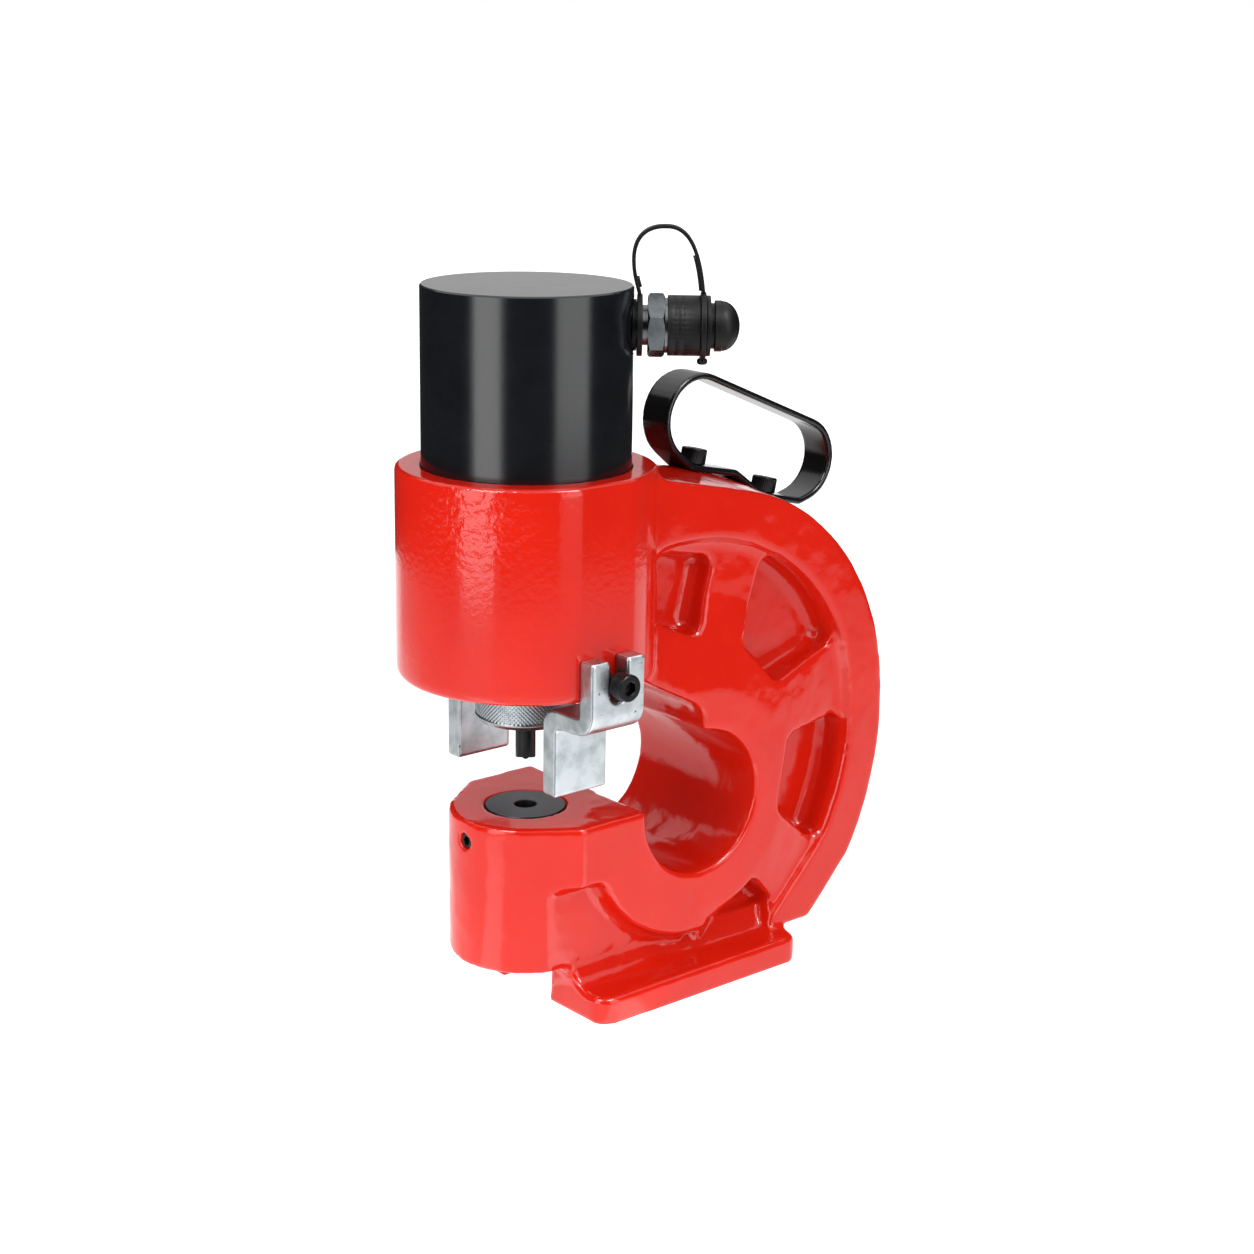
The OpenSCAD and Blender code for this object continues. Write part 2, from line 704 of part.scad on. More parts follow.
module punch_nut() {
    thread_r = stud_r + thread_gap;
    recess_r = punch_head_r + rest_gap;
    hole_r = punch_r + screw_room;
    color("#C9CCD0") at_punch() rotate_extrude() polygon([[hole_r, nut_bottom],
        [nut_r - nut_edge, nut_bottom], [nut_r, nut_bottom + nut_edge],
        [nut_r, nut_top - turned_edge], [nut_r - turned_edge, nut_top], [thread_r, nut_top],
        [thread_r, stud_bottom], [recess_r, stud_bottom], [recess_r, punch_seat],
        [hole_r, punch_seat]]);
}

module punch() {
    color("#232426") at_punch() {
        rod(punch_head_r, punch_seat, stud_bottom - run_gap);
        rod(punch_r, punch_tip, punch_seat + past);
        rod(nub_r, punch_tip - nub_h, punch_tip + past);
    }
}

module die() {
    color("#4B4D50") at_punch() difference() {
        rotate_extrude() polygon([[die_relief_r, die_bottom], [die_r, die_bottom],
            [die_r, jaw_top - die_edge], [die_r - die_edge, jaw_top],
            [die_hole_r + die_edge, jaw_top], [die_hole_r, jaw_top - die_edge],
            [die_hole_r, jaw_top - die_land],
            [die_relief_r, jaw_top - die_land - (die_relief_r - die_hole_r)]]);
        translate([-set_screw_tip + run_gap, 0, set_screw_z]) rotate([0, -90, 0])
            rod(m8_r + rest_gap, 0, die_r);
    }
}

module die_set_screw() {
    color("#1E1F21") at_punch() translate([0, 0, set_screw_z]) rotate([0, -90, 0]) difference() {
        rod(m8_r - thread_gap, set_screw_tip, set_screw_end);
        translate([0, 0, set_screw_end - set_screw_socket])
            cylinder(r = set_screw_af / sqrt(3), h = set_screw_socket + past, $fn = 6);
    }
}

module stripper() {
    side = [[plate_in, plate_top], [plate_in, shelf_top], [blade_in, shelf_top],
        [blade_in, blade_bottom], [blade_out, blade_bottom], [blade_out, shelf_bottom],
        [plate_out, shelf_bottom], [plate_out, plate_top]];
    slot_r = slot_w / 2;
    difference() {
        translate([-stripper_w / 2, 0, 0]) rotate([90, 0, 90]) linear_extrude(stripper_w)
            polygon(concat([side[0]],
                corner(side[0], side[1], side[2], inner_bend_r),
                corner(side[1], side[2], side[3], outer_bend_r), [side[3], side[4]],
                corner(side[4], side[5], side[6], inner_bend_r),
                corner(side[5], side[6], side[7], outer_bend_r), [side[7]]));
        translate([0, plate_in - past, slot_bottom + slot_r]) rotate([-90, 0, 0])
            rod(slot_r, 0, stripper_t + 2 * past);
        translate([-slot_r, plate_in - past, slot_bottom + slot_r])
            cube([slot_w, stripper_t + 2 * past, plate_top]);
    }
}

module stripper_near() {
    color("#C9CCD0") at_punch() mirror([0, 1, 0]) stripper();
}

module stripper_far() {
    color("#C9CCD0") at_punch() stripper();
}

module stripper_screws() {
    color("#1E1F21") at_punch() both_sides() translate([0, -plate_out - run_gap,
        stripper_screw_z]) rotate([90, 0, 0]) cap_screw(stripper_screw_l);
}

module handle() {
    color("#1A1A1C") at_punch() difference() {
        upright(strap_w) difference() {
            polygon(loop_outline(0));
            polygon(loop_outline(strap_t));
        }
        on_seat(seat_front, front_a) rod(m8_r + screw_room, -past, strap_t + past);
        on_seat(seat_rear, rear_a) rod(m8_r + screw_room, -past, strap_t + past);
    }
}

module handle_screws() {
    color("#1E1F21") at_punch() {
        on_seat(seat_front + raise(front_a, strap_t + run_gap), front_a)
            cap_screw(strap_t + handle_screw_l);
        on_seat(seat_rear + raise(rear_a, strap_t + run_gap), rear_a)
            cap_screw(strap_t + handle_screw_l);
    }
}

module port_seal() {
    color("#2A2A2C") along_port() tube(seal_washer_r, port_r + thread_gap, spot_s,
        spot_s + seal_washer_t);
}

module port_nipple() {
    color("#C9CCD0") along_port() difference() {
        union() {
            rod(port_r, nipple_in, nipple_end);
            rod(neck_r, spot_s + seal_washer_t, hex_s);
        }
        rod(nipple_bore_r, nipple_in - past, nipple_end + past);
    }
}

module coupler_body() {
    face_r = hex_af / 2;
    wide_r = hex_r + past;
    chamfer = (wide_r - face_r) / 2;
    color("#C9CCD0") along_port() difference() {
        union() {
            intersection() {
                rotate([0, 0, hex_turn]) translate([0, 0, hex_s])
                    cylinder(r = hex_r, h = hex_l, $fn = 6);
                rotate_extrude() polygon([[0, hex_s], [face_r, hex_s],
                    [wide_r, hex_s + chamfer], [wide_r, hex_s + hex_l - chamfer],
                    [face_r, hex_s + hex_l], [0, hex_s + hex_l]]);
            }
            rod(rim_r, hex_s + hex_l - past, nose_s);
            rod(nose_r, nose_s - past, nose_s + nose_l);
        }
        rod(port_r + thread_gap, hex_s - past, nipple_end + rest_gap);
        rod(chamber_r, nipple_end, seat_s);
        rod(mouth_r, seat_s - past, nose_s + nose_l + past);
    }
}

module coupler_poppet() {
    color("#B9BDC2") along_port() {
        rod(poppet_r, seat_s - poppet_l, seat_s - run_gap);
        rod(poppet_tip_r, seat_s - past, nose_s + nose_l);
    }
}

module poppet_spring() {
    color("#8A8D91") along_port() polyhedron(
        coil_points(small_r, small_low, small_high, small_turns, small_wire),
        coil_faces(small_turns));
}

module dust_cap() {
    neck_s = flange_s + flange_l;
    dome_s = neck_s + cap_neck_l;
    inside_r = nose_r + soft_gap;
    color("#1B1B1C") along_port() rotate_extrude() polygon(concat(
        [[inside_r, skirt_s], [skirt_r, skirt_s], [skirt_r, ring_out_s - rest_gap],
            [groove_bottom_r, ring_out_s - rest_gap], [groove_bottom_r, flange_s],
            [skirt_r, flange_s], [skirt_r, neck_s], [cap_neck_r, neck_s],
            [cap_neck_r, dome_s]],
        [for (a = [0:10:90]) [dome_r * cos(a), dome_s + dome_r * sin(a)]],
        [[0, cap_floor_s], [inside_r, cap_floor_s]]));
}

module cap_tether() {
    color("#202021") {
        along_port() {
            tube(tether_ring_r, neck_r + soft_gap, ring_in_s, ring_in_s + ring_t);
            tube(tether_cap_r, groove_bottom_r + soft_gap, ring_out_s, ring_out_s + ring_t);
        }
        at_punch() rotate([0, 0, port_turn]) translate([0, 0, port_z]) upright(tether_w)
            polygon(concat(beside(arch, tether_t / 2), reversed(beside(arch, -tether_t / 2))));
        at_punch() rotate([0, 0, port_turn])
            translate([ring_out_s, -tether_w / 2, port_z - tether_tail_l])
            cube([ring_t, tether_w, tether_tail_l - groove_bottom_r - past]);
    }
}

frame();
cylinder_tube();
ram();
piston_seal();
piston_wear_ring();
return_spring();
guide_bush();
wiper_seal();
punch_nut();
punch();
die();
die_set_screw();
stripper_near();
stripper_far();
stripper_screws();
handle();
handle_screws();
port_seal();
port_nipple();
coupler_body();
coupler_poppet();
poppet_spring();
dust_cap();
cap_tether();
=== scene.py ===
"""A portable hydraulic hole punch: painted cast C frame, steel cylinder, tooling, handle and hose port."""
import math

import bmesh
import bpy
import numpy as np
import openvdb as vdb
from mathutils import Matrix, Vector


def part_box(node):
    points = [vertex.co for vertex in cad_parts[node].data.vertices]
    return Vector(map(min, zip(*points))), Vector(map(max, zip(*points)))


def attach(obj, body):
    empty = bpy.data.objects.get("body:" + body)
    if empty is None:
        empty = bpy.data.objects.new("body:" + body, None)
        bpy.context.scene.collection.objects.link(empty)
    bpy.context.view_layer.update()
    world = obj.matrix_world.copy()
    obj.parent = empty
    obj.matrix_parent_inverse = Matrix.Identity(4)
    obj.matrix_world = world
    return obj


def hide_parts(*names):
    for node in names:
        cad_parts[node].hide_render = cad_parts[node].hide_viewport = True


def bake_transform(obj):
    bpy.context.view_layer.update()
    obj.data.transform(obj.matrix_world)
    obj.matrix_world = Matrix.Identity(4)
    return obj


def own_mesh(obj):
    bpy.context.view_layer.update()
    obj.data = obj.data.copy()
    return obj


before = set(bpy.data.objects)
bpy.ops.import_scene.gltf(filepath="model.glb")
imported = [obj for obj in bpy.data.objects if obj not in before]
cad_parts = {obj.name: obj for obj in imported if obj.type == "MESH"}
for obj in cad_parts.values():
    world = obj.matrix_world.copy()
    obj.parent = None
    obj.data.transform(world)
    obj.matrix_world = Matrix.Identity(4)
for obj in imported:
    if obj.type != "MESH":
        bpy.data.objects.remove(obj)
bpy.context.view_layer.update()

# The camera stands where the photograph was taken from: a 65 mm lens a little above the tool and off
# its nose. Its place and axes were worked out from the tool's round rims and upright edges.
MM = 0.001
LENS_BACK = Vector((-0.63112377, -0.73018009, 0.2617629))
LENS_UP = Vector((0.15897996, 0.2085336, 0.96500731))
LENS_RIGHT = Vector((0.75921549, -0.65065411, 0.01552651))
ram_low, ram_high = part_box("ram")
PUNCH = (ram_low.x + ram_high.x) / 2 / MM
lens = bpy.data.cameras.new("photo_camera")
lens.sensor_width = 36.0
lens.lens = 65.0
lens.shift_x = -0.0052
lens.shift_y = -0.0064
camera = bpy.data.objects.new("photo_camera", lens)
axes = Matrix((LENS_RIGHT, LENS_UP, LENS_BACK)).transposed().to_4x4()
camera.matrix_world = Matrix.Translation(Vector((PUNCH - 650.42, -831.9, 480.38)) * MM) @ axes
bpy.context.scene.collection.objects.link(camera)
bpy.context.scene.camera = camera
bpy.context.scene.view_settings.view_transform = "Standard"


def add(tree, kind, settings=None, links=None):
    """Adds a node with its settings and links; a setting is an input of that name or a property."""
    node = tree.nodes.new(kind)
    for key, value in (settings or {}).items():
        if isinstance(key, int) or key in node.inputs:
            node.inputs[key].default_value = value
        else:
            setattr(node, key, value)
    for key, source in (links or {}).items():
        tree.links.new(source, node.inputs[key])
    return node


# The sky is white where it meets the floor, dimmer above that and bright again overhead, as in a
# room with a lit ceiling. The head's ring and the cylinder's top mirror the dimmer part.
world = bpy.data.worlds.new("studio")
bpy.context.scene.world = world
world.use_nodes = True
world.node_tree.nodes.clear()
direction = add(world.node_tree, "ShaderNodeTexCoord")
height = add(world.node_tree, "ShaderNodeSeparateXYZ", links={0: direction.outputs["Generated"]})
horizon = add(world.node_tree, "ShaderNodeMapRange",
              {"From Min": 0.02, "From Max": 0.08, "To Min": 1.0, "To Max": 0.65},
              {"Value": height.outputs["Z"]})
overhead = add(world.node_tree, "ShaderNodeMapRange",
               {"From Min": 0.35, "From Max": 0.75, "To Min": 0.0, "To Max": 0.7},
               {"Value": height.outputs["Z"]})
both = add(world.node_tree, "ShaderNodeMath", {"operation": "ADD"},
           {0: horizon.outputs[0], 1: overhead.outputs[0]})
sky = add(world.node_tree, "ShaderNodeBackground", links={"Strength": both.outputs[0]})
sky.inputs["Color"].default_value = (1.0, 1.0, 1.0, 1)
add(world.node_tree, "ShaderNodeOutputWorld", links={"Surface": sky.outputs[0]})


def linear(colour):
    """The linear values of an sRGB hex colour."""
    channels = [int(colour[i:i + 2], 16) / 255 for i in (1, 3, 5)]
    curve = [c / 12.92 if c <= 0.04045 else ((c + 0.055) / 1.055) ** 2.4 for c in channels]
    return (*curve, 1.0)


def blank(name):
    """A new material with its shader and nothing else."""
    mat = bpy.data.materials.new(name)
    mat.use_nodes = True
    mat.node_tree.nodes.clear()
    shader = add(mat.node_tree, "ShaderNodeBsdfPrincipled")
    add(mat.node_tree, "ShaderNodeOutputMaterial", links={"Surface": shader.outputs["BSDF"]})
    return mat, mat.node_tree, shader


def every(size):
    """The scale of a pattern whose marks are this far apart in mm."""
    return 1 / (size * MM)


def shown(name, mesh):
    """A mesh put in the scene as a piece."""
    piece = bpy.data.objects.new(name, mesh)
    bpy.context.scene.collection.objects.link(piece)
    return piece


# The floor is a sweep of matt white paper that glows as painted light, more so under the jaw, so that the
# tool's shadow is lost in it.
# In front and at the left, out of the picture, it is darker, and the enamel's sides mirror that.
# Two bright patches beside the jaw give it its upright glints. The paper's fibres are 1.1 mm apart.
FLOOR_REACH = 40.0
sweep, tree, shader = blank("white_paper_sweep")
shader.inputs["Base Color"].default_value = linear("#A0A0A0")
shader.inputs["Roughness"].default_value = 0.9
shader.inputs["Emission Color"].default_value = linear("#FFFFFF")
spot = add(tree, "ShaderNodeTexCoord").outputs["Object"]
reach = add(tree, "ShaderNodeVectorMath", {"operation": "LENGTH"}, {0: spot})
glow = add(tree, "ShaderNodeMapRange", {"From Min": 0.3, "From Max": 2.2, "To Min": 0.8, "To Max": 1.0},
           {"Value": reach.outputs["Value"]})
from_punch = add(tree, "ShaderNodeVectorMath", {"operation": "SUBTRACT", 1: (PUNCH * MM, 0, 0)}, {0: spot})
heading = add(tree, "ShaderNodeVectorMath", {"operation": "NORMALIZE"}, {0: from_punch.outputs[0]})
away = add(tree, "ShaderNodeVectorMath", {"operation": "LENGTH"}, {0: from_punch.outputs[0]})
patches = []
for compass, edge, full, start, end, change in (
        (189.0, 0.966, 0.985, 0.4, 0.2, 1.3),
        (283.0, 0.966, 0.985, 0.4, 0.2, 1.3),
        (229.2, -0.35, -0.1, 0.34, 0.8, -0.65),
        (124.2, 0.8, 0.9, 0.6, 0.72, -0.62)):
    way = (math.cos(math.radians(compass)), math.sin(math.radians(compass)), 0)
    facing = add(tree, "ShaderNodeVectorMath", {"operation": "DOT_PRODUCT", 1: way},
                 {0: heading.outputs[0]})
    across = add(tree, "ShaderNodeMapRange", {"From Min": edge, "From Max": full},
                 {"Value": facing.outputs["Value"]})
    along = add(tree, "ShaderNodeMapRange", {"From Min": start, "From Max": end, "To Max": change},
                {"Value": away.outputs["Value"]})
    patches.append(add(tree, "ShaderNodeMath", {"operation": "MULTIPLY"},
                       {0: across.outputs[0], 1: along.outputs[0]}))
# Painted light: extra glow on the floor under the jaw, where the tool's shadow would fall.
under = add(tree, "ShaderNodeMapRange", {"From Min": 0.1, "From Max": 0.2, "To Min": 0.25, "To Max": 0.0},
            {"Value": away.outputs["Value"]})
darker = add(tree, "ShaderNodeMath", {"operation": "MINIMUM"},
             {0: patches[2].outputs[0], 1: patches[3].outputs[0]})
for patch in (patches[0], patches[1], under, darker):
    glow = add(tree, "ShaderNodeMath", {"operation": "ADD"}, {0: glow.outputs[0], 1: patch.outputs[0]})
tree.links.new(glow.outputs[0], shader.inputs["Emission Strength"])
fibres = add(tree, "ShaderNodeTexNoise", {"Scale": every(1.11)})
grain = add(tree, "ShaderNodeBump", {"Strength": 0.05, "Distance": 0.2 * MM}, {"Height": fibres.outputs[0]})
tree.links.new(grain.outputs[0], shader.inputs["Normal"])
floor_mesh = bpy.data.meshes.new("floor")
floor_mesh.from_pydata([(-FLOOR_REACH, -FLOOR_REACH, 0), (FLOOR_REACH, -FLOOR_REACH, 0),
                        (FLOOR_REACH, FLOOR_REACH, 0), (-FLOOR_REACH, FLOOR_REACH, 0)], [], [(0, 1, 2, 3)])
floor_mesh.materials.append(sweep)
floor = shown("floor", floor_mesh)


def around_tool(angle, distance, z):
    """A point at an angle from the line to the camera, seen from above, positive to the right."""
    heading = math.atan2(-0.73018, -0.63112) + math.radians(angle)
    return Vector((PUNCH * MM + distance * math.cos(heading), distance * math.sin(heading), z))


# Two tall softboxes light the tool and draw the two bands on the cylinder. Two small lamps up high
# only draw thin glints, along the rounded edges that face up.
for label, angle, distance, z, aim_z, wide, tall, power in (
        ("softbox_left", -39, 0.85, 0.505, 0.505, 0.44, 0.98, 4.4),
        ("softbox_right", 52, 0.85, 0.5575, 0.5575, 0.55, 0.875, 3.3),
        ("glint_left", -40, 0.7, 1.15, 0.18, 0.42, 0.36, 9.0),
        ("glint_right", 54, 0.7, 1.15, 0.18, 0.42, 0.36, 9.0)):
    panel = bpy.data.lights.new(label, "AREA")
    panel.shape = "RECTANGLE"
    panel.size = wide
    panel.size_y = tall
    panel.energy = power
    lamp = bpy.data.objects.new(label, panel)
    lamp.location = around_tool(angle, distance, z)
    towards = Vector((PUNCH * MM, 0, aim_z)) - lamp.location
    lamp.rotation_euler = towards.to_track_quat("-Z", "Y").to_euler()
    lamp.visible_camera = False
    lamp.visible_diffuse = label.startswith("softbox")
    bpy.context.scene.collection.objects.link(lamp)

# Flags of black cloth stand between and beside the softboxes. They give the gloss its dark parts,
# and only reflections see them.
FLAG_STEPS = 12
flag_cloth, tree, shader = blank("black_flag_cloth")
shader.inputs["Base Color"].default_value = linear("#101010")
shader.inputs["Roughness"].default_value = 1.0
for label, start, end in (("front", -20, 31), ("left", -165, -58), ("right", 73, 165)):
    angles = [start + (end - start) * i / FLAG_STEPS for i in range(FLAG_STEPS + 1)]
    low = [around_tool(a, 0.92, 0.01) for a in angles]
    high = [around_tool(a, 0.92, 0.9) for a in angles]
    mesh = bpy.data.meshes.new(f"flag_{label}")
    quads = [(i, i + 1, FLAG_STEPS + 2 + i, FLAG_STEPS + 1 + i) for i in range(FLAG_STEPS)]
    mesh.from_pydata([*low, *high], [], quads)
    mesh.materials.append(flag_cloth)
    flag = shown(f"flag_{label}", mesh)
    flag.visible_camera = False
    flag.visible_diffuse = False
    flag.visible_shadow = False
    flag.visible_transmission = False

# The frame is one steel casting in gloss red enamel: head, C web, jaw and feet. It was poured in
# sand, so its corners are filleted and its skin ripples. The bores, flats and seats were milled
# before it was painted, so they stay crisp.
CAST_VOXEL = 1.0
FILLET = 5.0
TIGHT_FILLET = 2.5
ROUND = 1.9
RIM_ROUND = 0.9
FOOT_TOP = 13.7
FOOT_FILLET = 14.0
WEB_FACE = 35.0


def corners_and_triangles(mesh):
    """A mesh's points in mm, and its triangles."""
    mesh.calc_loop_triangles()
    points = np.empty(len(mesh.vertices) * 3, np.float32)
    mesh.vertices.foreach_get("co", points)
    triangles = np.empty(len(mesh.loop_triangles) * 3, np.int32)
    mesh.loop_triangles.foreach_get("vertices", triangles)
    return points.reshape(-1, 3) / MM, triangles.reshape(-1, 3).astype(np.uint32)


class Block:
    """A block of distances to a surface, negative inside, on a grid of cubes."""

    def __init__(self, points, voxel, width):
        self.voxel, self.width = voxel, width
        self.step = vdb.createLinearTransform(voxelSize=voxel)
        self.low = np.floor(points.min(0) / voxel).astype(int) - width - 2
        high = np.ceil(points.max(0) / voxel).astype(int) + width + 2
        self.shape = tuple(int(n) for n in high - self.low)

    def fill(self, points, **faces):
        """The distances from each cube to the surface of these points and faces."""
        grid = vdb.FloatGrid.createLevelSetFromPolygons(
            points, transform=self.step, halfWidth=self.width, **faces)
        values = np.zeros(self.shape, np.float32)
        grid.copyToArray(values, ijk=tuple(int(n) for n in self.low))
        return values

    def surface(self, values, offset=0.0):
        """The points and quads of the surface at this distance."""
        grid = vdb.FloatGrid(self.width * self.voxel)
        grid.transform = self.step
        grid.copyFromArray(values, ijk=tuple(int(n) for n in self.low))
        return grid.convertToQuads(isovalue=offset)

    def rolled(self, values, radius):
        """Rolls a ball round the outside, which fillets inner corners; below 0 it rounds outer ones."""
        points, quads = self.surface(values, radius)
        return self.fill(points, quads=quads) + radius

    def places(self):
        """The coordinates of the cubes, in mm, along each axis."""
        return np.meshgrid(*[(np.arange(n) + l) * self.voxel for n, l in zip(self.shape, self.low)],
                           indexing="ij", sparse=True)

    def ripples(self, seed, size):
        """A smooth random field between about -1 and 1, with bumps of this size in mm."""
        rng = np.random.default_rng(seed)
        lattice = [int(n * self.voxel / size) + 4 for n in self.shape]
        field = rng.uniform(-1, 1, lattice).astype(np.float32)
        for axis, n in enumerate(self.shape):
            t = np.arange(n) * self.voxel / size
            i = t.astype(int)
            f = (t - i).astype(np.float32)
            f = f * f * (3 - 2 * f)
            weights = np.zeros((n, lattice[axis]), np.float32)
            weights[np.arange(n), i] = 1 - f
            weights[np.arange(n), i + 1] = f
            field = np.moveaxis(np.tensordot(weights, field, axes=(1, axis)), 0, axis)
        return field


def relax(points, quads, rounds):
    """Evens out a mesh, each point moving halfway to the middle of its neighbours."""
    ends = np.concatenate([quads[:, [0, 1]], quads[:, [1, 2]], quads[:, [2, 3]], quads[:, [3, 0]]])
    count = np.bincount(ends[:, 0], minlength=len(points)).astype(float)
    for _ in range(rounds):
        middle = np.stack([np.bincount(ends[:, 0], points[ends[:, 1], k], len(points))
                           for k in range(3)], 1) / count[:, None]
        points = points + (middle - points) * 0.5
    return points


def smooth_mesh(name, points, quads):
    """A mesh in metres from points in mm, shaded smooth."""
    mesh = bpy.data.meshes.new(name)
    mesh.vertices.add(len(points))
    mesh.vertices.foreach_set("co", (points * MM).astype(np.float32).ravel())
    mesh.loops.add(quads.size)
    mesh.loops.foreach_set("vertex_index", quads.astype(np.int32).ravel())
    mesh.polygons.add(len(quads))
    mesh.polygons.foreach_set("loop_start", np.arange(len(quads), dtype=np.int32) * 4)
    mesh.polygons.foreach_set("loop_total", np.full(len(quads), 4, np.int32))
    mesh.update(calc_edges=True)
    mesh.validate()
    mesh.shade_smooth()
    return mesh


def build(name, mesh, material, body, node):
    """A piece that stands for a CAD node, rides a body and takes its finish from a slot."""
    mesh.materials.append(material)
    piece = shown(name, mesh)
    if body:
        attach(piece, body)
    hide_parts(node)
    return piece


corners, triangles = corners_and_triangles(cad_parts["frame"].data)
block = Block(corners, CAST_VOXEL, 8)
milled = block.fill(corners, triangles=triangles)
x, y, z = block.places()
x = x - PUNCH
radius = np.sqrt(x * x + y * y)
# Milled, in turn: the bores, the head's ring, the die's seat, the set screw's hole, the brackets'
# screw holes and the handle's pads.
machined = (radius < 58) & (z > 150) & (z < 300)
machined |= (radius < 70) & (z > 264) & (x < 42)
machined |= (radius < 30) & (z > 60)
machined |= (radius < 45) & (abs(y) < 8) & (z > 78)
machined |= (abs(x) < 14) & (abs(y) > 44) & (z > 160) & (z < 200)
machined |= (abs(y) < 13) & (x > 95) & (z > 205)
# The lowest hollow runs out on to the foot's fillet, with no wall between them.
slopes = np.maximum(0.9 * (z - 27 - 0.5 * (x - 80)), 0.7 * (x + z - 160))
gone = np.maximum(np.maximum(FOOT_TOP - z, 74 - x), np.maximum(slopes, x - 130 + 0.3 * (30 - z)))
floor_y = 42 - 13 * np.clip((x - 76) / 34, 0, 1)
below = FOOT_TOP + FOOT_FILLET - z
fillet_y = WEB_FACE + FOOT_FILLET - np.sqrt(np.maximum(FOOT_FILLET ** 2 - below ** 2, 0))
bowl = np.where(below > 0, np.maximum(floor_y, fillet_y), floor_y)
cast_from = np.maximum(milled, -np.maximum(gone, bowl - abs(y))).astype(np.float32)
low_hollow = np.clip((56 - z) / 8, 0, 1) * np.clip((x - 68) / 8, 0, 1) * (abs(y) > 20)
cast = low_hollow * block.rolled(cast_from, TIGHT_FILLET) + (1 - low_hollow) * block.rolled(cast_from, FILLET)
cast = np.where(machined, milled, cast)
cast = block.rolled(cast, -ROUND)
sharp = np.clip((z - 1) / 6, 0, 1)
cast = np.where(machined, milled, sharp * cast + (1 - sharp) * milled)
head_rim = (radius > 56) & (radius < 70) & (z > 264) & (x < 42)
cast = np.where(head_rim, block.rolled(milled, -RIM_ROUND), cast)
depth = np.clip((radius - 64) / 6, 0, 1) + np.clip((150 - z) / 10, 0, 1)
sand = np.where(machined | (z < 3), 0, np.clip(depth, 0, 1))
cast = cast + sand * (0.16 * block.ripples(3, 9) + 0.10 * block.ripples(4, 4.5))
points, quads = block.surface(cast.astype(np.float32))

# Gloss enamel, sprayed thick: a warm red with a sharp, clear shine. Its orange peel is 2.9 mm
# apart, and 4.3 mm grains of the sand mould show through it at one place on the barrel.
enamel, tree, shader = blank("gloss_red_enamel")
shader.inputs["Roughness"].default_value = 0.12
shader.inputs["IOR"].default_value = 1.46
spot = add(tree, "ShaderNodeTexCoord").outputs["Object"]
cloud = add(tree, "ShaderNodeTexNoise", {"Scale": every(40), "Detail": 3.0}, {"Vector": spot})
reds = add(tree, "ShaderNodeValToRGB", links={0: cloud.outputs[0]})
reds.color_ramp.elements[0].position = 0.3
reds.color_ramp.elements[0].color = linear("#C1190A")
reds.color_ramp.elements[1].position = 0.7
reds.color_ramp.elements[1].color = linear("#C91D0D")
tree.links.new(reds.outputs[0], shader.inputs["Base Color"])
peel = add(tree, "ShaderNodeTexNoise", {"Scale": every(2.857), "Detail": 2.0}, {"Vector": spot})
peel_bump = add(tree, "ShaderNodeBump", {"Strength": 0.12, "Distance": 0.6 * MM}, {"Height": peel.outputs[0]})
from_patch = add(tree, "ShaderNodeVectorMath", {"operation": "DISTANCE", 1: around_tool(-21, 0.062, 0.262)},
                 {0: spot})
coarse = add(tree, "ShaderNodeMapRange",
              {"From Min": 0.012, "From Max": 0.038, "To Min": 0.42, "To Max": 0.0},
              {"Value": from_patch.outputs["Value"]})
sand_grain = add(tree, "ShaderNodeTexNoise", {"Scale": every(4.348), "Detail": 2.0}, {"Vector": spot})
grain_bump = add(tree, "ShaderNodeBump", {"Distance": 1.6 * MM},
                 {"Strength": coarse.outputs[0], "Height": sand_grain.outputs[0],
                  "Normal": peel_bump.outputs[0]})
tree.links.new(grain_bump.outputs[0], shader.inputs["Normal"])
mesh = smooth_mesh("casting", relax(points, quads, 3), quads)
build("casting", mesh, enamel, "frame_body", "frame")


def finish(name, colours, roughness, metal=0.0, patches=(16.67, 0.35, 0.65), grain=(0.0, 2.5), ior=1.5):
    """A material whose colour and roughness drift between two values in soft patches, with a fine
    grain. The patches' and the grain's sizes are in mm."""
    mat, tree, shader = blank(name)
    spot = add(tree, "ShaderNodeTexCoord").outputs["Object"]
    cloud = add(tree, "ShaderNodeTexNoise", {"Scale": every(patches[0]), "Detail": 6.0, "Roughness": 0.62},
                {"Vector": spot})
    mixed = add(tree, "ShaderNodeValToRGB", links={0: cloud.outputs[0]})
    mixed.color_ramp.elements[0].position = patches[1]
    mixed.color_ramp.elements[0].color = linear(colours[0])
    mixed.color_ramp.elements[1].position = patches[2]
    mixed.color_ramp.elements[1].color = linear(colours[1])
    tree.links.new(mixed.outputs[0], shader.inputs["Base Color"])
    wear = add(tree, "ShaderNodeMapRange", {"To Min": roughness[0], "To Max": roughness[1]},
               {"Value": cloud.outputs[0]})
    tree.links.new(wear.outputs[0], shader.inputs["Roughness"])
    shader.inputs["Metallic"].default_value = metal
    shader.inputs["IOR"].default_value = ior
    if grain[0]:
        fine = add(tree, "ShaderNodeTexNoise", {"Scale": every(grain[1]), "Detail": 3.0}, {"Vector": spot})
        bump = add(tree, "ShaderNodeBump", {"Strength": grain[0], "Distance": 0.5 * MM},
                   {"Height": fine.outputs[0]})
        tree.links.new(bump.outputs[0], shader.inputs["Normal"])
    return mat


def paint(node, material):
    """Gives a CAD node that is right as it is its finish."""
    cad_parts[node].data.materials.clear()
    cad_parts[node].data.materials.append(material)


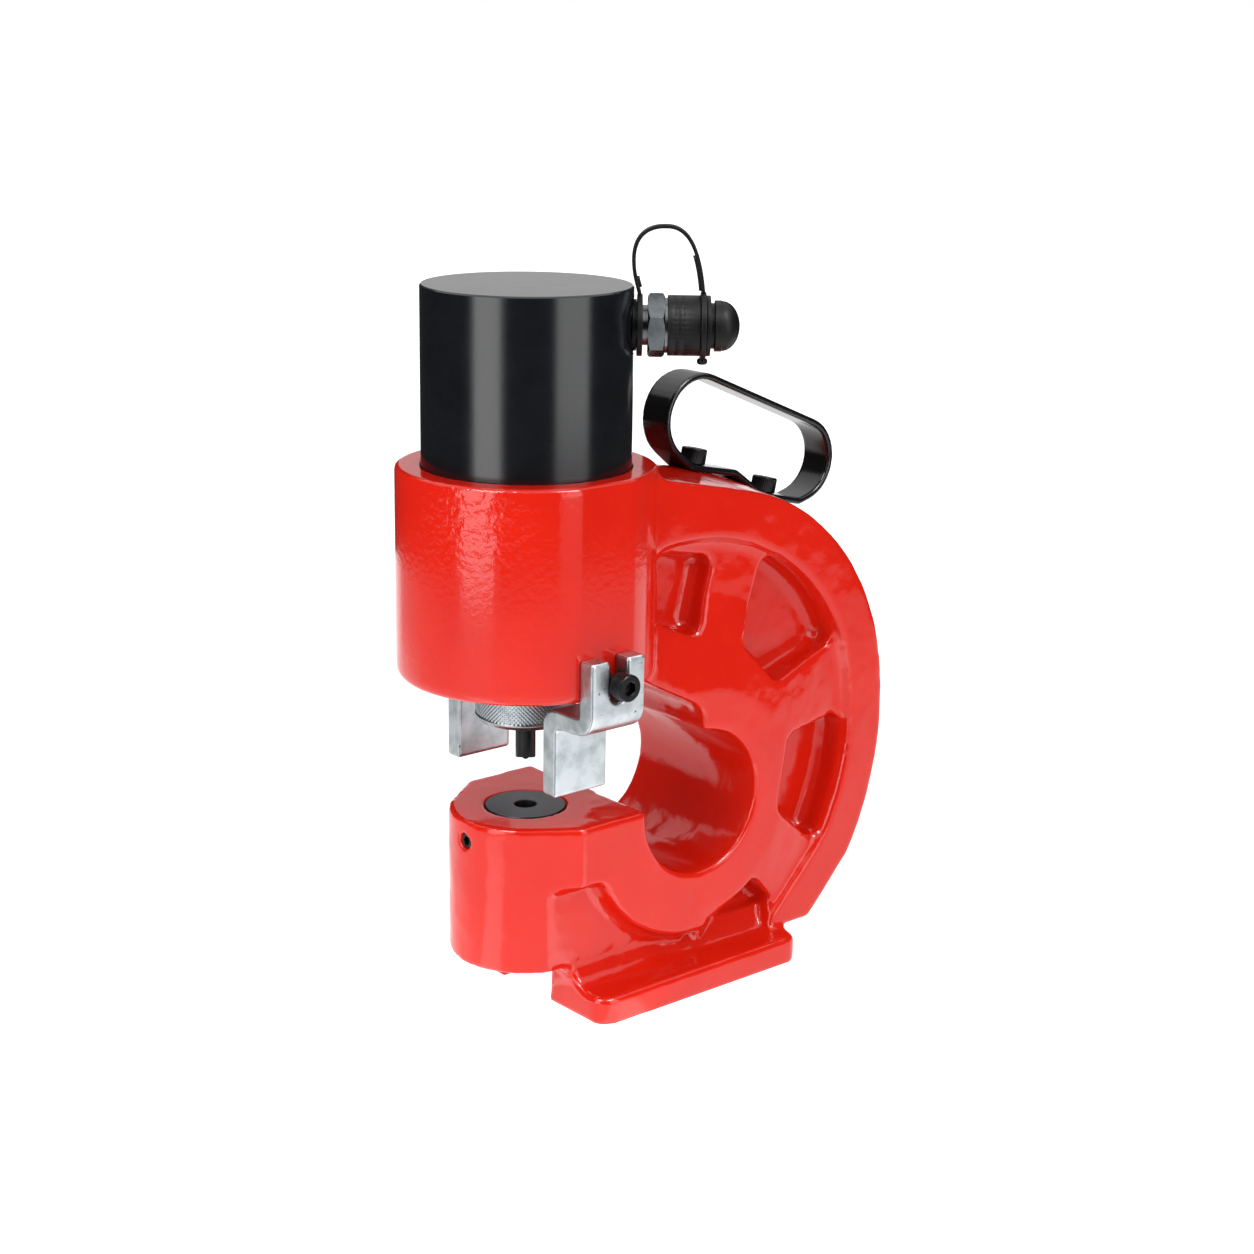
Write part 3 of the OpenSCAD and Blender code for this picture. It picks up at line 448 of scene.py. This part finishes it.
# The cylinder is a turned steel tube, closed at its top and screwed into the head. Satin black
# paint gives its side soft, broad shine. The top was faced on the lathe and left bare and grey, and
# its rings are drawn 1.2 mm apart, because the real feed marks are too fine to show.
CYLINDER_TOP = 354.8
black_satin = finish("satin_black_cylinder", ("#0C0E11", "#101216"), (0.15, 0.22), grain=(0.03, 2.0))
tree = black_satin.node_tree
shader = next(n for n in tree.nodes if n.type == "BSDF_PRINCIPLED")
spot = add(tree, "ShaderNodeTexCoord").outputs["Object"]
level = add(tree, "ShaderNodeSeparateXYZ", links={0: spot})
on_top = add(tree, "ShaderNodeMath", {"operation": "GREATER_THAN", 1: (CYLINDER_TOP - 0.5) * MM},
             {0: level.outputs["Z"]})
centred = add(tree, "ShaderNodeVectorMath", {"operation": "SUBTRACT", 1: (PUNCH * MM, 0, 0)}, {0: spot})
rings = add(tree, "ShaderNodeTexWave", {"wave_type": "RINGS", "rings_direction": "Z",
                                        "Scale": math.tau / 20 * every(1.2083), "Distortion": 1.5},
            {"Vector": centred.outputs[0]})
blotches = add(tree, "ShaderNodeTexNoise", {"Scale": every(22.22), "Detail": 5.0}, {"Vector": spot})
marks = add(tree, "ShaderNodeMath", {"operation": "MULTIPLY"},
            {0: rings.outputs[1], 1: blotches.outputs[0]})
bare = add(tree, "ShaderNodeValToRGB", links={0: marks.outputs[0]})
bare.color_ramp.elements[0].color = linear("#2B2C2C")
bare.color_ramp.elements[1].color = linear("#444545")
satin = shader.inputs["Base Color"].links[0].from_socket
side_or_top = add(tree, "ShaderNodeMix", {"data_type": "RGBA"},
                  {0: on_top.outputs[0], 6: satin, 7: bare.outputs[0]})
tree.links.new(side_or_top.outputs[2], shader.inputs["Base Color"])
paint("cylinder_tube", black_satin)

# The ram is piston and rod in one, turned and ground from alloy steel: pale, with a tight shine.
# It runs in a bush of turned bronze, dull gold, that is pressed into the head.
ground = finish("ground_steel", ("#B4B7BA", "#C6C9CC"), (0.16, 0.24), 1.0, (8.333, 0.3, 0.7))
paint("ram", ground)
bronze = finish("turned_bronze", ("#9A7836", "#B08A45"), (0.28, 0.4), 1.0)
paint("guide_bush", bronze)

# Turned pieces are an outline of radius and height, spun about their own axis, with each corner
# broken by a small radius as a file or a mould leaves it.
AT_PUNCH = Matrix.Translation((PUNCH * MM, 0, 0)) @ Matrix.Scale(MM, 4)


def eased(outline, radius, closed=True):
    """The outline with its corners broken, and a short straight run beside each so flats stay flat."""
    points = [Vector(p) for p in outline]
    line = []
    for i, p in enumerate(points):
        if not closed and i in (0, len(points) - 1):
            line.append(p)
            continue
        back = points[i - 1] - p
        on = points[(i + 1) % len(points)] - p
        if abs(back.angle_signed(on)) > 3.05:
            line.append(p)
            continue
        cut = min(radius, 0.4 * back.length, 0.4 * on.length)
        back.normalize()
        on.normalize()
        line.append(p + back * cut * 1.2)
        for u in (0, 0.25, 0.5, 0.75, 1):
            line.append(p + back * cut * (1 - u) ** 2 + on * cut * u * u)
        line.append(p + on * cut * 1.2)
    return line


def as_mesh(name, points, faces, place):
    """A smooth mesh from points in mm, laid in place, with its faces turned outwards."""
    mesh = bpy.data.meshes.new(name)
    mesh.from_pydata([place @ Vector(p) for p in points], [], faces)
    work = bmesh.new()
    work.from_mesh(mesh)
    bmesh.ops.recalc_face_normals(work, faces=work.faces)
    work.to_mesh(mesh)
    work.free()
    mesh.shade_smooth()
    return mesh


def turned(outline, ease, steps=96, reach=None, closed=True):
    """Points and faces of a turned piece; reach may shift a point's radius and height by its angle."""
    line = eased(outline, ease, closed)
    points = []
    for r, h in line:
        for k in range(steps):
            a = 2 * math.pi * k / steps
            r_here, h_here = reach(r, h, a) if reach else (r, h)
            points.append((r_here * math.cos(a), r_here * math.sin(a), h_here))
    rings = len(line)
    faces = []
    for i in range(rings if closed else rings - 1):
        low, high = i * steps, (i + 1) % rings * steps
        faces += [(low + k, low + (k + 1) % steps, high + (k + 1) % steps, high + k) for k in range(steps)]
    if not closed:
        faces += [tuple(range(steps)), tuple(range(len(points) - steps, len(points)))]
    return points, faces


# The piston's seal is a cup moulded in polyurethane: blue, with the dull shine of oiled plastic.
# Its two lips face the oil, and it snaps into the piston's groove.
blue_seal = finish("moulded_seal", ("#2F5C8C", "#3A6EA5"), (0.45, 0.6))
outline = [(34.05, 304.9), (39.95, 304.9), (39.95, 311.7), (38.35, 311.7), (37, 308.3), (35.65, 311.7),
           (34.05, 311.7)]
mesh = as_mesh("piston_cup_seal", *turned(outline, 0.5), AT_PUNCH)
build("piston_cup_seal", mesh, blue_seal, "ram_body", "piston_seal")


def swept(path, section, up):
    """Points and faces of a bar with this section along a path; up keeps the section from twisting."""
    points = []
    for i, p in enumerate(path):
        along = (Vector(path[min(i + 1, len(path) - 1)]) - Vector(path[max(i - 1, 0)])).normalized()
        side = Vector(up).cross(along).normalized()
        over = along.cross(side)
        points += [tuple(Vector(p) + side * a + over * b) for a, b in section]
    n = len(section)
    faces = [(i * n + k, i * n + (k + 1) % n, (i + 1) * n + (k + 1) % n, (i + 1) * n + k)
             for i in range(len(path) - 1) for k in range(n)]
    faces += [tuple(range(n)), tuple(range(len(points) - n, len(points)))]
    return points, faces


# The wear ring is cut from a strip of brown phenolic cloth, matt, and sprung into its groove, so
# it has a gap. It keeps the piston off the bore.
WEAR_R = 38.75
wear_plastic = finish("wear_ring_plastic", ("#6A4C28", "#7A5A33"), (0.5, 0.65))
section = eased([(-1.2, -2.9), (-1.2, 2.9), (1.2, 2.9), (1.2, -2.9)], 0.3)
path = [(WEAR_R * math.cos(math.radians(a)), WEAR_R * math.sin(math.radians(a)), 296.8)
        for a in range(2, 359, 3)]
mesh = as_mesh("split_wear_ring", *swept(path, section, (0, 0, 1)), AT_PUNCH)
build("split_wear_ring", mesh, wear_plastic, "ram_body", "piston_wear_ring")

# The wiper is moulded in black nitrile rubber, matt with a very fine grain. It sits in the head
# below the bush and keeps dirt off the rod.
rubber = finish("moulded_rubber", ("#060606", "#0B0B0C"), (0.4, 0.52), patches=(11.11, 0.35, 0.65),
                grain=(0.12, 1.11), ior=1.3)
outline = [(20.05, 179.5), (20.05, 180.9), (25, 180.9), (25, 176), (22.85, 176), (22.85, 179.5)]
mesh = as_mesh("rod_wiper", *turned(outline, 0.35), AT_PUNCH)
build("rod_wiper", mesh, rubber, "frame_body", "wiper_seal")


def coil(radius, low, high, turns, wire):
    """Points and faces of a wound spring about +Z."""
    n = turns * 40
    path = [(radius * math.cos(math.tau * turns * i / n), radius * math.sin(math.tau * turns * i / n),
             low + (high - low) * i / n) for i in range(n + 1)]
    section = [(wire / 2 * math.cos(math.tau * k / 14), wire / 2 * math.sin(math.tau * k / 14))
               for k in range(14)]
    return swept(path, section, (0, 0, 1))


# The return spring is wound from 6 mm oiled wire, dark and smooth. It stands on the cylinder's
# floor round the rod, and the piston presses it flat on the way down.
wire_steel = finish("oiled_spring_wire", ("#3C3E41", "#5A5D61"), (0.25, 0.4), 1.0)
mesh = as_mesh("return_spring_coil", *coil(29, 203.35, 285.45, 8, 6), AT_PUNCH)
spring = build("return_spring_coil", mesh, wire_steel, "frame_body", "return_spring")
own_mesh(spring)

# The knurled nut is turned steel under bright zinc plate: grey, with soft mirror shine. It draws
# the punch up against the ram. Its rolled diamonds are 2 mm apart, as 1.6 mm ones would blur away.
KNURLS = 76
KNURL_RISE = 2.05
zinc = finish("bright_zinc_plate", ("#62696C", "#9AA1A5"), (0.26, 0.42), 1.0, (14.29, 0.22, 0.45),
              grain=(0.08, 1.429))


def knurled(r, h, a):
    """Rolled diamonds on the nut's outside."""
    if r < 24.7 or not 147.4 < h < 170.6:
        return r, h
    u = KNURLS * a / math.tau + h / KNURL_RISE
    v = KNURLS * a / math.tau - h / KNURL_RISE
    peak = abs((u % 1) * 2 - 1) + abs((v % 1) * 2 - 1)
    return r - 0.7 + 0.35 * peak, h


outline = [(5.45, 144), (22.55, 144), (24.75, 146.2), *[(24.75, 147.2 + 0.4 * i) for i in range(60)],
           (24.75, 171.2), (23.95, 172), (16.05, 172), (16.05, 158), (9.55, 158), (9.55, 150), (5.45, 150)]
mesh = as_mesh("knurled_nut", *turned(outline, 0.3, 384, knurled), AT_PUNCH)
build("knurled_nut", mesh, zinc, "ram_body", "punch_nut")

# The punch is hardened tool steel, blacked in hot salts: near black, with a low oily shine. Its tip
# has a locating nub between two ground shear edges.
ACROSS_TIP = math.radians(-40.8)
blacked = finish("black_oxide", ("#0C0C0D", "#17181A"), (0.24, 0.36), 0.6, (6.667, 0.3, 0.7))


def sheared(r, h, a):
    """Draws the tip's rim down at its two sides."""
    if h > 124.6 or r < 2.4:
        return r, h
    return r, h + 0.45 - 0.9 * math.cos(a - ACROSS_TIP) ** 2


outline = [(0.02, 157.95), (9.45, 157.95), (9.45, 150), (4.95, 150), (4.95, 126), (4.95, 124.2),
           (2.6, 124.2), (1.9, 124.4), (1.9, 123.4), (0.9, 122.5), (0.02, 122.5)]
mesh = as_mesh("punch_tool", *turned(outline, 0.25, 96, sheared, closed=False), AT_PUNCH)
build("punch_tool", mesh, blacked, "ram_body", "punch")

# The die is hardened steel, ground and left dark grey, and drops into its seat in the jaw.
die_steel = finish("hardened_die_steel", ("#34363A", "#4A4C50"), (0.3, 0.42), 0.9, (9.091, 0.3, 0.7))
paint("die", die_steel)


def hexagon(r_flat, a):
    """The radius at an angle of a hexagon with flats at this radius."""
    return r_flat / math.cos((a + math.pi / 6) % (math.pi / 3) - math.pi / 6)


def set_screw_socket(r, h, a):
    """A 4 mm hexagon socket in the set screw's end."""
    return (hexagon(2.0, a), h) if 1.9 < r < 2.2 else (r, h)


# A blacked M8 set screw holds the die. It is screwed in through the jaw's nose, below the edge.
SET_SCREW_Z = 88
outline = [(0.02, 18), (2.9, 18), (3.95, 19), (3.95, 35.6), (3.4, 36.1), (2.5, 36.1), (2.0, 35.9),
           (2.0, 32.2), (0.02, 31.6)]
through_nose = AT_PUNCH @ Matrix.Translation((0, 0, SET_SCREW_Z)) @ Matrix.Rotation(math.radians(-90), 4, "Y")
mesh = as_mesh("die_grub_screw", *turned(outline, 0.15, 96, set_screw_socket, closed=False), through_nose)
build("die_grub_screw", mesh, blacked, "frame_body", "die_set_screw")

# The two strippers are bent from 9.7 mm flat bar, tight inside the bends and wide outside, and
# slotted for their screws. Zinc plate gives the faces a pale, cloudy shine with a few dark pits. The
# sawn edges stay greyer, with fine marks 1.1 mm apart and 7 mm long: real ones are finer.
BAR_HALF_WIDTH = 16
SLOT_R = 5.35
SLOT_END_Z = 173.65
BAR_VOXEL = 0.4
sheet_zinc = finish("zinc_plated_bar", ("#A2ABAF", "#CDD4D8"), (0.28, 0.4), 1.0, (14.29, 0.3, 0.55),
                    grain=(0.12, 2.0))
tree = sheet_zinc.node_tree
shader = next(n for n in tree.nodes if n.type == "BSDF_PRINCIPLED")
place = add(tree, "ShaderNodeTexCoord")
facing = add(tree, "ShaderNodeSeparateXYZ", links={0: place.outputs["Normal"]})
endways = add(tree, "ShaderNodeMath", {"operation": "ABSOLUTE"}, {0: facing.outputs["X"]})
# Painted shade: this ramp turns the band where the sawn ends round into the faces into a dark line, and dims
# the sawn ends a little.
edge = add(tree, "ShaderNodeValToRGB", links={0: endways.outputs[0]})
edge.color_ramp.elements[0].position = 0.5
edge.color_ramp.elements[0].color = linear("#FFFFFF")
edge.color_ramp.elements[1].position = 0.68
edge.color_ramp.elements[1].color = linear("#707476")
past_edge = edge.color_ramp.elements.new(0.85)
past_edge.color = linear("#DFE2E3")
stretched = add(tree, "ShaderNodeMapping", {"Scale": (1.0, 0.16, 0.16)}, {0: place.outputs["Object"]})
saw = add(tree, "ShaderNodeTexNoise", {"Scale": every(1.111), "Detail": 3.0},
          {"Vector": stretched.outputs[0]})
sawn = add(tree, "ShaderNodeValToRGB", links={0: saw.outputs[0]})
sawn.color_ramp.elements[0].position = 0.35
sawn.color_ramp.elements[0].color = linear("#A8ADAF")
sawn.color_ramp.elements[1].position = 0.65
sawn.color_ramp.elements[1].color = linear("#CDD1D3")
plated = shader.inputs["Base Color"].links[0].from_socket
dust = add(tree, "ShaderNodeTexNoise", {"Scale": every(2.381), "Detail": 2.0},
           {"Vector": place.outputs["Object"]})
pits = add(tree, "ShaderNodeValToRGB", links={0: dust.outputs[0]})
pits.color_ramp.elements[0].position = 0.25
pits.color_ramp.elements[1].position = 0.31
pitted = add(tree, "ShaderNodeMix", {"data_type": "RGBA", 6: linear("#5E5A57")},
             {0: pits.outputs[0], 7: plated})
is_cut = add(tree, "ShaderNodeMath", {"operation": "GREATER_THAN", 1: 0.8}, {0: endways.outputs[0]})
either = add(tree, "ShaderNodeMix", {"data_type": "RGBA"},
             {0: is_cut.outputs[0], 6: pitted.outputs[2], 7: sawn.outputs[0]})
shaded = add(tree, "ShaderNodeMix", {"data_type": "RGBA", "blend_type": "MULTIPLY", 0: 1.0},
             {6: either.outputs[2], 7: edge.outputs[0]})
tree.links.new(shaded.outputs[2], shader.inputs["Base Color"])


def bent(outline):
    """The points of an outline whose corners are (y, z, bend radius)."""
    points = []
    for i, (corner_y, corner_z, r) in enumerate(outline):
        here = Vector((corner_y, corner_z))
        back = (Vector(outline[i - 1][:2]) - here).normalized()
        on = (Vector(outline[(i + 1) % len(outline)][:2]) - here).normalized()
        if r == 0:
            points.append(here)
            continue
        half = back.angle(on) / 2
        middle = here + (back + on).normalized() * r / math.sin(half)
        start = here + back * r / math.tan(half) - middle
        swing = start.angle_signed(here + on * r / math.tan(half) - middle)
        for k in range(11):
            a = -swing * k / 10
            points.append(middle + Vector((start.x * math.cos(a) - start.y * math.sin(a),
                                           start.x * math.sin(a) + start.y * math.cos(a))))
    return points


bar_side = bent([(60.4, 189, 0), (60.4, 161.4, 1.2), (33.2, 160.8, 9.5), (33.2, 117, 0),
                 (42.9, 117, 0), (42.9, 151.6, 2.5), (70.1, 152.9, 11.5), (70.1, 189, 0)])
n = len(bar_side)
bar_faces = [*[(k, (k + 1) % n, n + (k + 1) % n, n + k) for k in range(n)],
             tuple(range(n)), tuple(range(2 * n - 1, n - 1, -1))]
for side, way in (("near", -1), ("far", 1)):
    ends = [(across, way * p.x, p.y) for across in (-BAR_HALF_WIDTH, BAR_HALF_WIDTH) for p in bar_side]
    bar = as_mesh(f"bar_{side}", ends, bar_faces, AT_PUNCH)
    corners, triangles = corners_and_triangles(bar)
    bpy.data.meshes.remove(bar)
    block = Block(corners, BAR_VOXEL, 6)
    values = block.fill(corners, triangles=triangles)
    x, y, z = block.places()
    slot = SLOT_R - np.sqrt((x - PUNCH) ** 2 + np.minimum(z - SLOT_END_Z, 0) ** 2)
    values = np.maximum(values, np.where(abs(y) > 52, np.clip(slot, -2.4, 2.4), -2.4))
    values = block.rolled(values.astype(np.float32), -1.0)
    points, quads = block.surface(values.astype(np.float32))
    mesh = smooth_mesh(f"stripper_bar_{side}", relax(points, quads, 2), quads)
    build(f"stripper_bar_{side}", mesh, sheet_zinc, f"stripper_{side}_body", f"stripper_{side}")


def screw_head(r, h, a):
    """Fine ridges round a cap screw's head, and the hexagon of its socket."""
    if 6.3 < r and 0.8 < h < 6.9:
        return r - 0.13 + 0.13 * math.cos(40 * a), h
    return (hexagon(3.0, a), h) if 2.9 < r < 3.2 else (r, h)


def cap_screw(shank):
    """Points and faces of an M8 cap screw, its seat at height 0."""
    outline = [(0.02, -shank), (3.3, -shank), (3.95, -shank + 0.8), (3.95, 0), (6.1, 0), (6.5, 0.5),
               (6.5, 1.2), (6.5, 6.6), (6.5, 7.4), (5.9, 8), (3.7, 8), (3.0, 7.6), (3.0, 4), (0.02, 3.4)]
    return turned(outline, 0.2, 160, screw_head, closed=False)


def moved(part, matrix):
    """The same piece laid elsewhere, still in mm."""
    return [tuple(matrix @ Vector(p)) for p in part[0]], part[1]


def joined(*parts):
    """Several sets of points and faces as one."""
    points, faces = [], []
    for some_points, some_faces in parts:
        faces += [tuple(i + len(points) for i in f) for f in some_faces]
        points += some_points
    return points, faces


# Four M8 cap screws, rolled and blacked like the punch, hold the strippers and the handle. Their
# heads have 40 fine ridges to grip and a 6 mm hexagon socket.
pair = [moved(cap_screw(26), Matrix.Translation((0, side * 70.15, 177)) @
              Matrix.Rotation(math.radians(-side * 90), 4, "X")) for side in (-1, 1)]
mesh = as_mesh("stripper_cap_screws", *joined(*pair), AT_PUNCH)
build("stripper_cap_screws", mesh, blacked, "frame_body", "stripper_screws")
pair = [moved(cap_screw(19.4), Matrix.Translation((x_seat, 0, z_seat)) @
              Matrix.Rotation(math.radians(lean), 4, "Y"))
        for x_seat, z_seat, lean in ((106.09, 257.45, 11.5), (155.78, 236.7, 13))]
mesh = as_mesh("handle_cap_screws", *joined(*pair), AT_PUNCH)
build("handle_cap_screws", mesh, blacked, "frame_body", "handle_screws")

# The handle is a steel strap bent to a loop and screwed down to two pads on the casting's back.
# Satin black powder paint softens its corners and gives it long, dim highlights.
STRAP_ROUND = 1.2
STRAP_FILLET = 3.5
strap_paint = finish("satin_black_strap", ("#0F0F11", "#141416"), (0.14, 0.22), patches=(12.5, 0.3, 0.7),
                     grain=(0.05, 2.0))
corners, triangles = corners_and_triangles(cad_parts["handle"].data)
block = Block(corners, 0.7, 8)
values = block.rolled(block.fill(corners, triangles=triangles), STRAP_FILLET)
values = block.rolled(values, -STRAP_ROUND)
points, quads = block.surface(values.astype(np.float32))
mesh = smooth_mesh("carrying_strap", relax(points, quads, 2), quads)
build("carrying_strap", mesh, strap_paint, "frame_body", "handle")

# The hose port: a nipple screwed into the cylinder over a bonded washer of steel and rubber, and
# the coupler's hexagon. Both are turned steel under dull zinc plate, a dark cloudy grey.
PORT_Z = 336.3
PORT_TURN = math.radians(-40)
BESIDE_PORT = AT_PUNCH @ Matrix.Translation((0, 0, PORT_Z)) @ Matrix.Rotation(PORT_TURN, 4, "Z")
ALONG_PORT = BESIDE_PORT @ Matrix.Rotation(math.radians(90), 4, "Y")
coupler_zinc = finish("zinc_plated_coupler", ("#4E5255", "#74797C"), (0.2, 0.32), 1.0, (11.11, 0.3, 0.6))
for node in ("port_nipple", "coupler_body"):
    paint(node, coupler_zinc)
outline = [(8.45, 49.3), (9.2, 49), (12, 49), (12, 51), (9.2, 51), (8.45, 50.7)]
mesh = as_mesh("bonded_washer", *turned(outline, 0.3), ALONG_PORT)
build("bonded_washer", mesh, rubber, "frame_body", "port_seal")

# Inside the coupler a ground steel poppet shuts the oil in. A small spring of the same oiled wire
# as the large one keeps it shut.
paint("coupler_poppet", ground)
mesh = as_mesh("poppet_coil", *coil(4.3, 65.55, 72.05, 3, 0.9), ALONG_PORT)
spring = build("poppet_coil", mesh, wire_steel, "frame_body", "poppet_spring")
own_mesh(spring)


def moulded_marks(r, h, a):
    """Two rows of small raised marks round the cap's skirt."""
    if r > 14 and (abs(h - 69) < 0.6 or abs(h - 73) < 0.6):
        return r - 0.25 + 0.25 * max(0.0, math.cos(36 * a)), h
    return r, h


# The dust cap is moulded in the same matt black rubber as the wiper and pushed over the coupler.
# It has a grooved skirt for the strap's eye and a domed grip.
outline = [(0.02, 80.2), (11.7, 80.2), (11.7, 65.5), (14.1, 65.5), (14.1, 68.2), (14.1, 68.6), (14.1, 69),
           (14.1, 69.4), (14.1, 69.8), (14.1, 72.2), (14.1, 72.6), (14.1, 73), (14.1, 73.4), (14.1, 73.8),
           (14.1, 80.7), (11.2, 80.7), (11.2, 83.5), (14.1, 83.5), (14.1, 85.5), (10.6, 85.5),
           (10.6, 87.3), (11.9, 87.5), (11.9, 90.6),
           *[(11.6 * math.cos(t * math.pi / 40) + 0.02, 90.9 + 8.4 * math.sin(t * math.pi / 40))
             for t in range(21)]]
mesh = as_mesh("rubber_dust_cap", *turned(outline, 0.35, 144, moulded_marks, closed=False), ALONG_PORT)
build("rubber_dust_cap", mesh, rubber, "dust_cap_body", "dust_cap")


def curve(p, n):
    """Points along a curve with four control points."""
    steps = [i / n for i in range(n + 1)]
    return [tuple((1 - t) ** 3 * Vector(p[0]) + 3 * t * (1 - t) ** 2 * Vector(p[1]) +
                  3 * t * t * (1 - t) * Vector(p[2]) + t ** 3 * Vector(p[3])) for t in steps]


def flat_bar(low, high, half):
    """The section of a flat moulded bar, from low to high across it."""
    return [(low, -half), (high, -half), (high, half), (low, half)]


# The cap's strap is one soft moulding in the same rubber. Its two eyes sit behind the hexagon and
# in the cap's groove, it arches over the coupler with a thicker tab at each end, and a tail with a
# knob hangs below.
EYE_IN, EYE_OUT = 52.5, 82.1
ARCH = 45.8
ACROSS = (0, 1, 0)
arch = (curve([(EYE_IN, 0, 13), (EYE_IN, 0, 16), (49.9, 0, 21), (49.5, 0, 28)], 10)
        + curve([(49.4, 0, 30.5), (49.4, 0, 41), (55.1, 0, ARCH), (63.6, 0, ARCH)], 20)
        + curve([(64.6, 0, ARCH), (73.6, 0, ARCH), (79.9, 0, 37.8), (EYE_OUT, 0, 13.7)], 24))
right_tab = [p for p in arch if p[0] > 70 and 16 < p[2] < 33]
left_tab = [p for p in arch if p[0] < 55 and 17 < p[2] < 24]
tail = [(EYE_OUT, 0, -12.5 - 0.6 * i) for i in range(9)]
tab = eased(flat_bar(0.5, 1.9, 2.6), 0.5)
washer_like = [turned([(r_in, s - 1.3), (r_out, s - 1.3), (r_out, s + 1.3), (r_in, s + 1.3)], 0.5)
               for r_in, r_out, s in ((9.7, 14.5, EYE_IN), (11.5, 15.7, EYE_OUT))]
eyes = [moved(part, Matrix.Rotation(math.radians(90), 4, "Y")) for part in washer_like]
outline = [(0.02, -1.3), (1.8, -1.2), (2.5, -0.4), (2.5, 0.9), (1.9, 1.6), (0.02, 1.8)]
knob = moved(turned(outline, 0.4, 32, closed=False), Matrix.Translation((EYE_OUT, 0, -16.9)))
parts = [swept(arch, eased(flat_bar(-0.9, 0.9, 3), 0.6), ACROSS), *eyes,
         swept(right_tab, tab, ACROSS), swept(left_tab, tab, ACROSS),
         swept(tail, eased(flat_bar(-1.3, 1.3, 2.2), 0.5), ACROSS), knob]
mesh = as_mesh("cap_strap", *joined(*parts), BESIDE_PORT)
tether = build("cap_strap", mesh, rubber, None, "cap_tether")
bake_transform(tether)
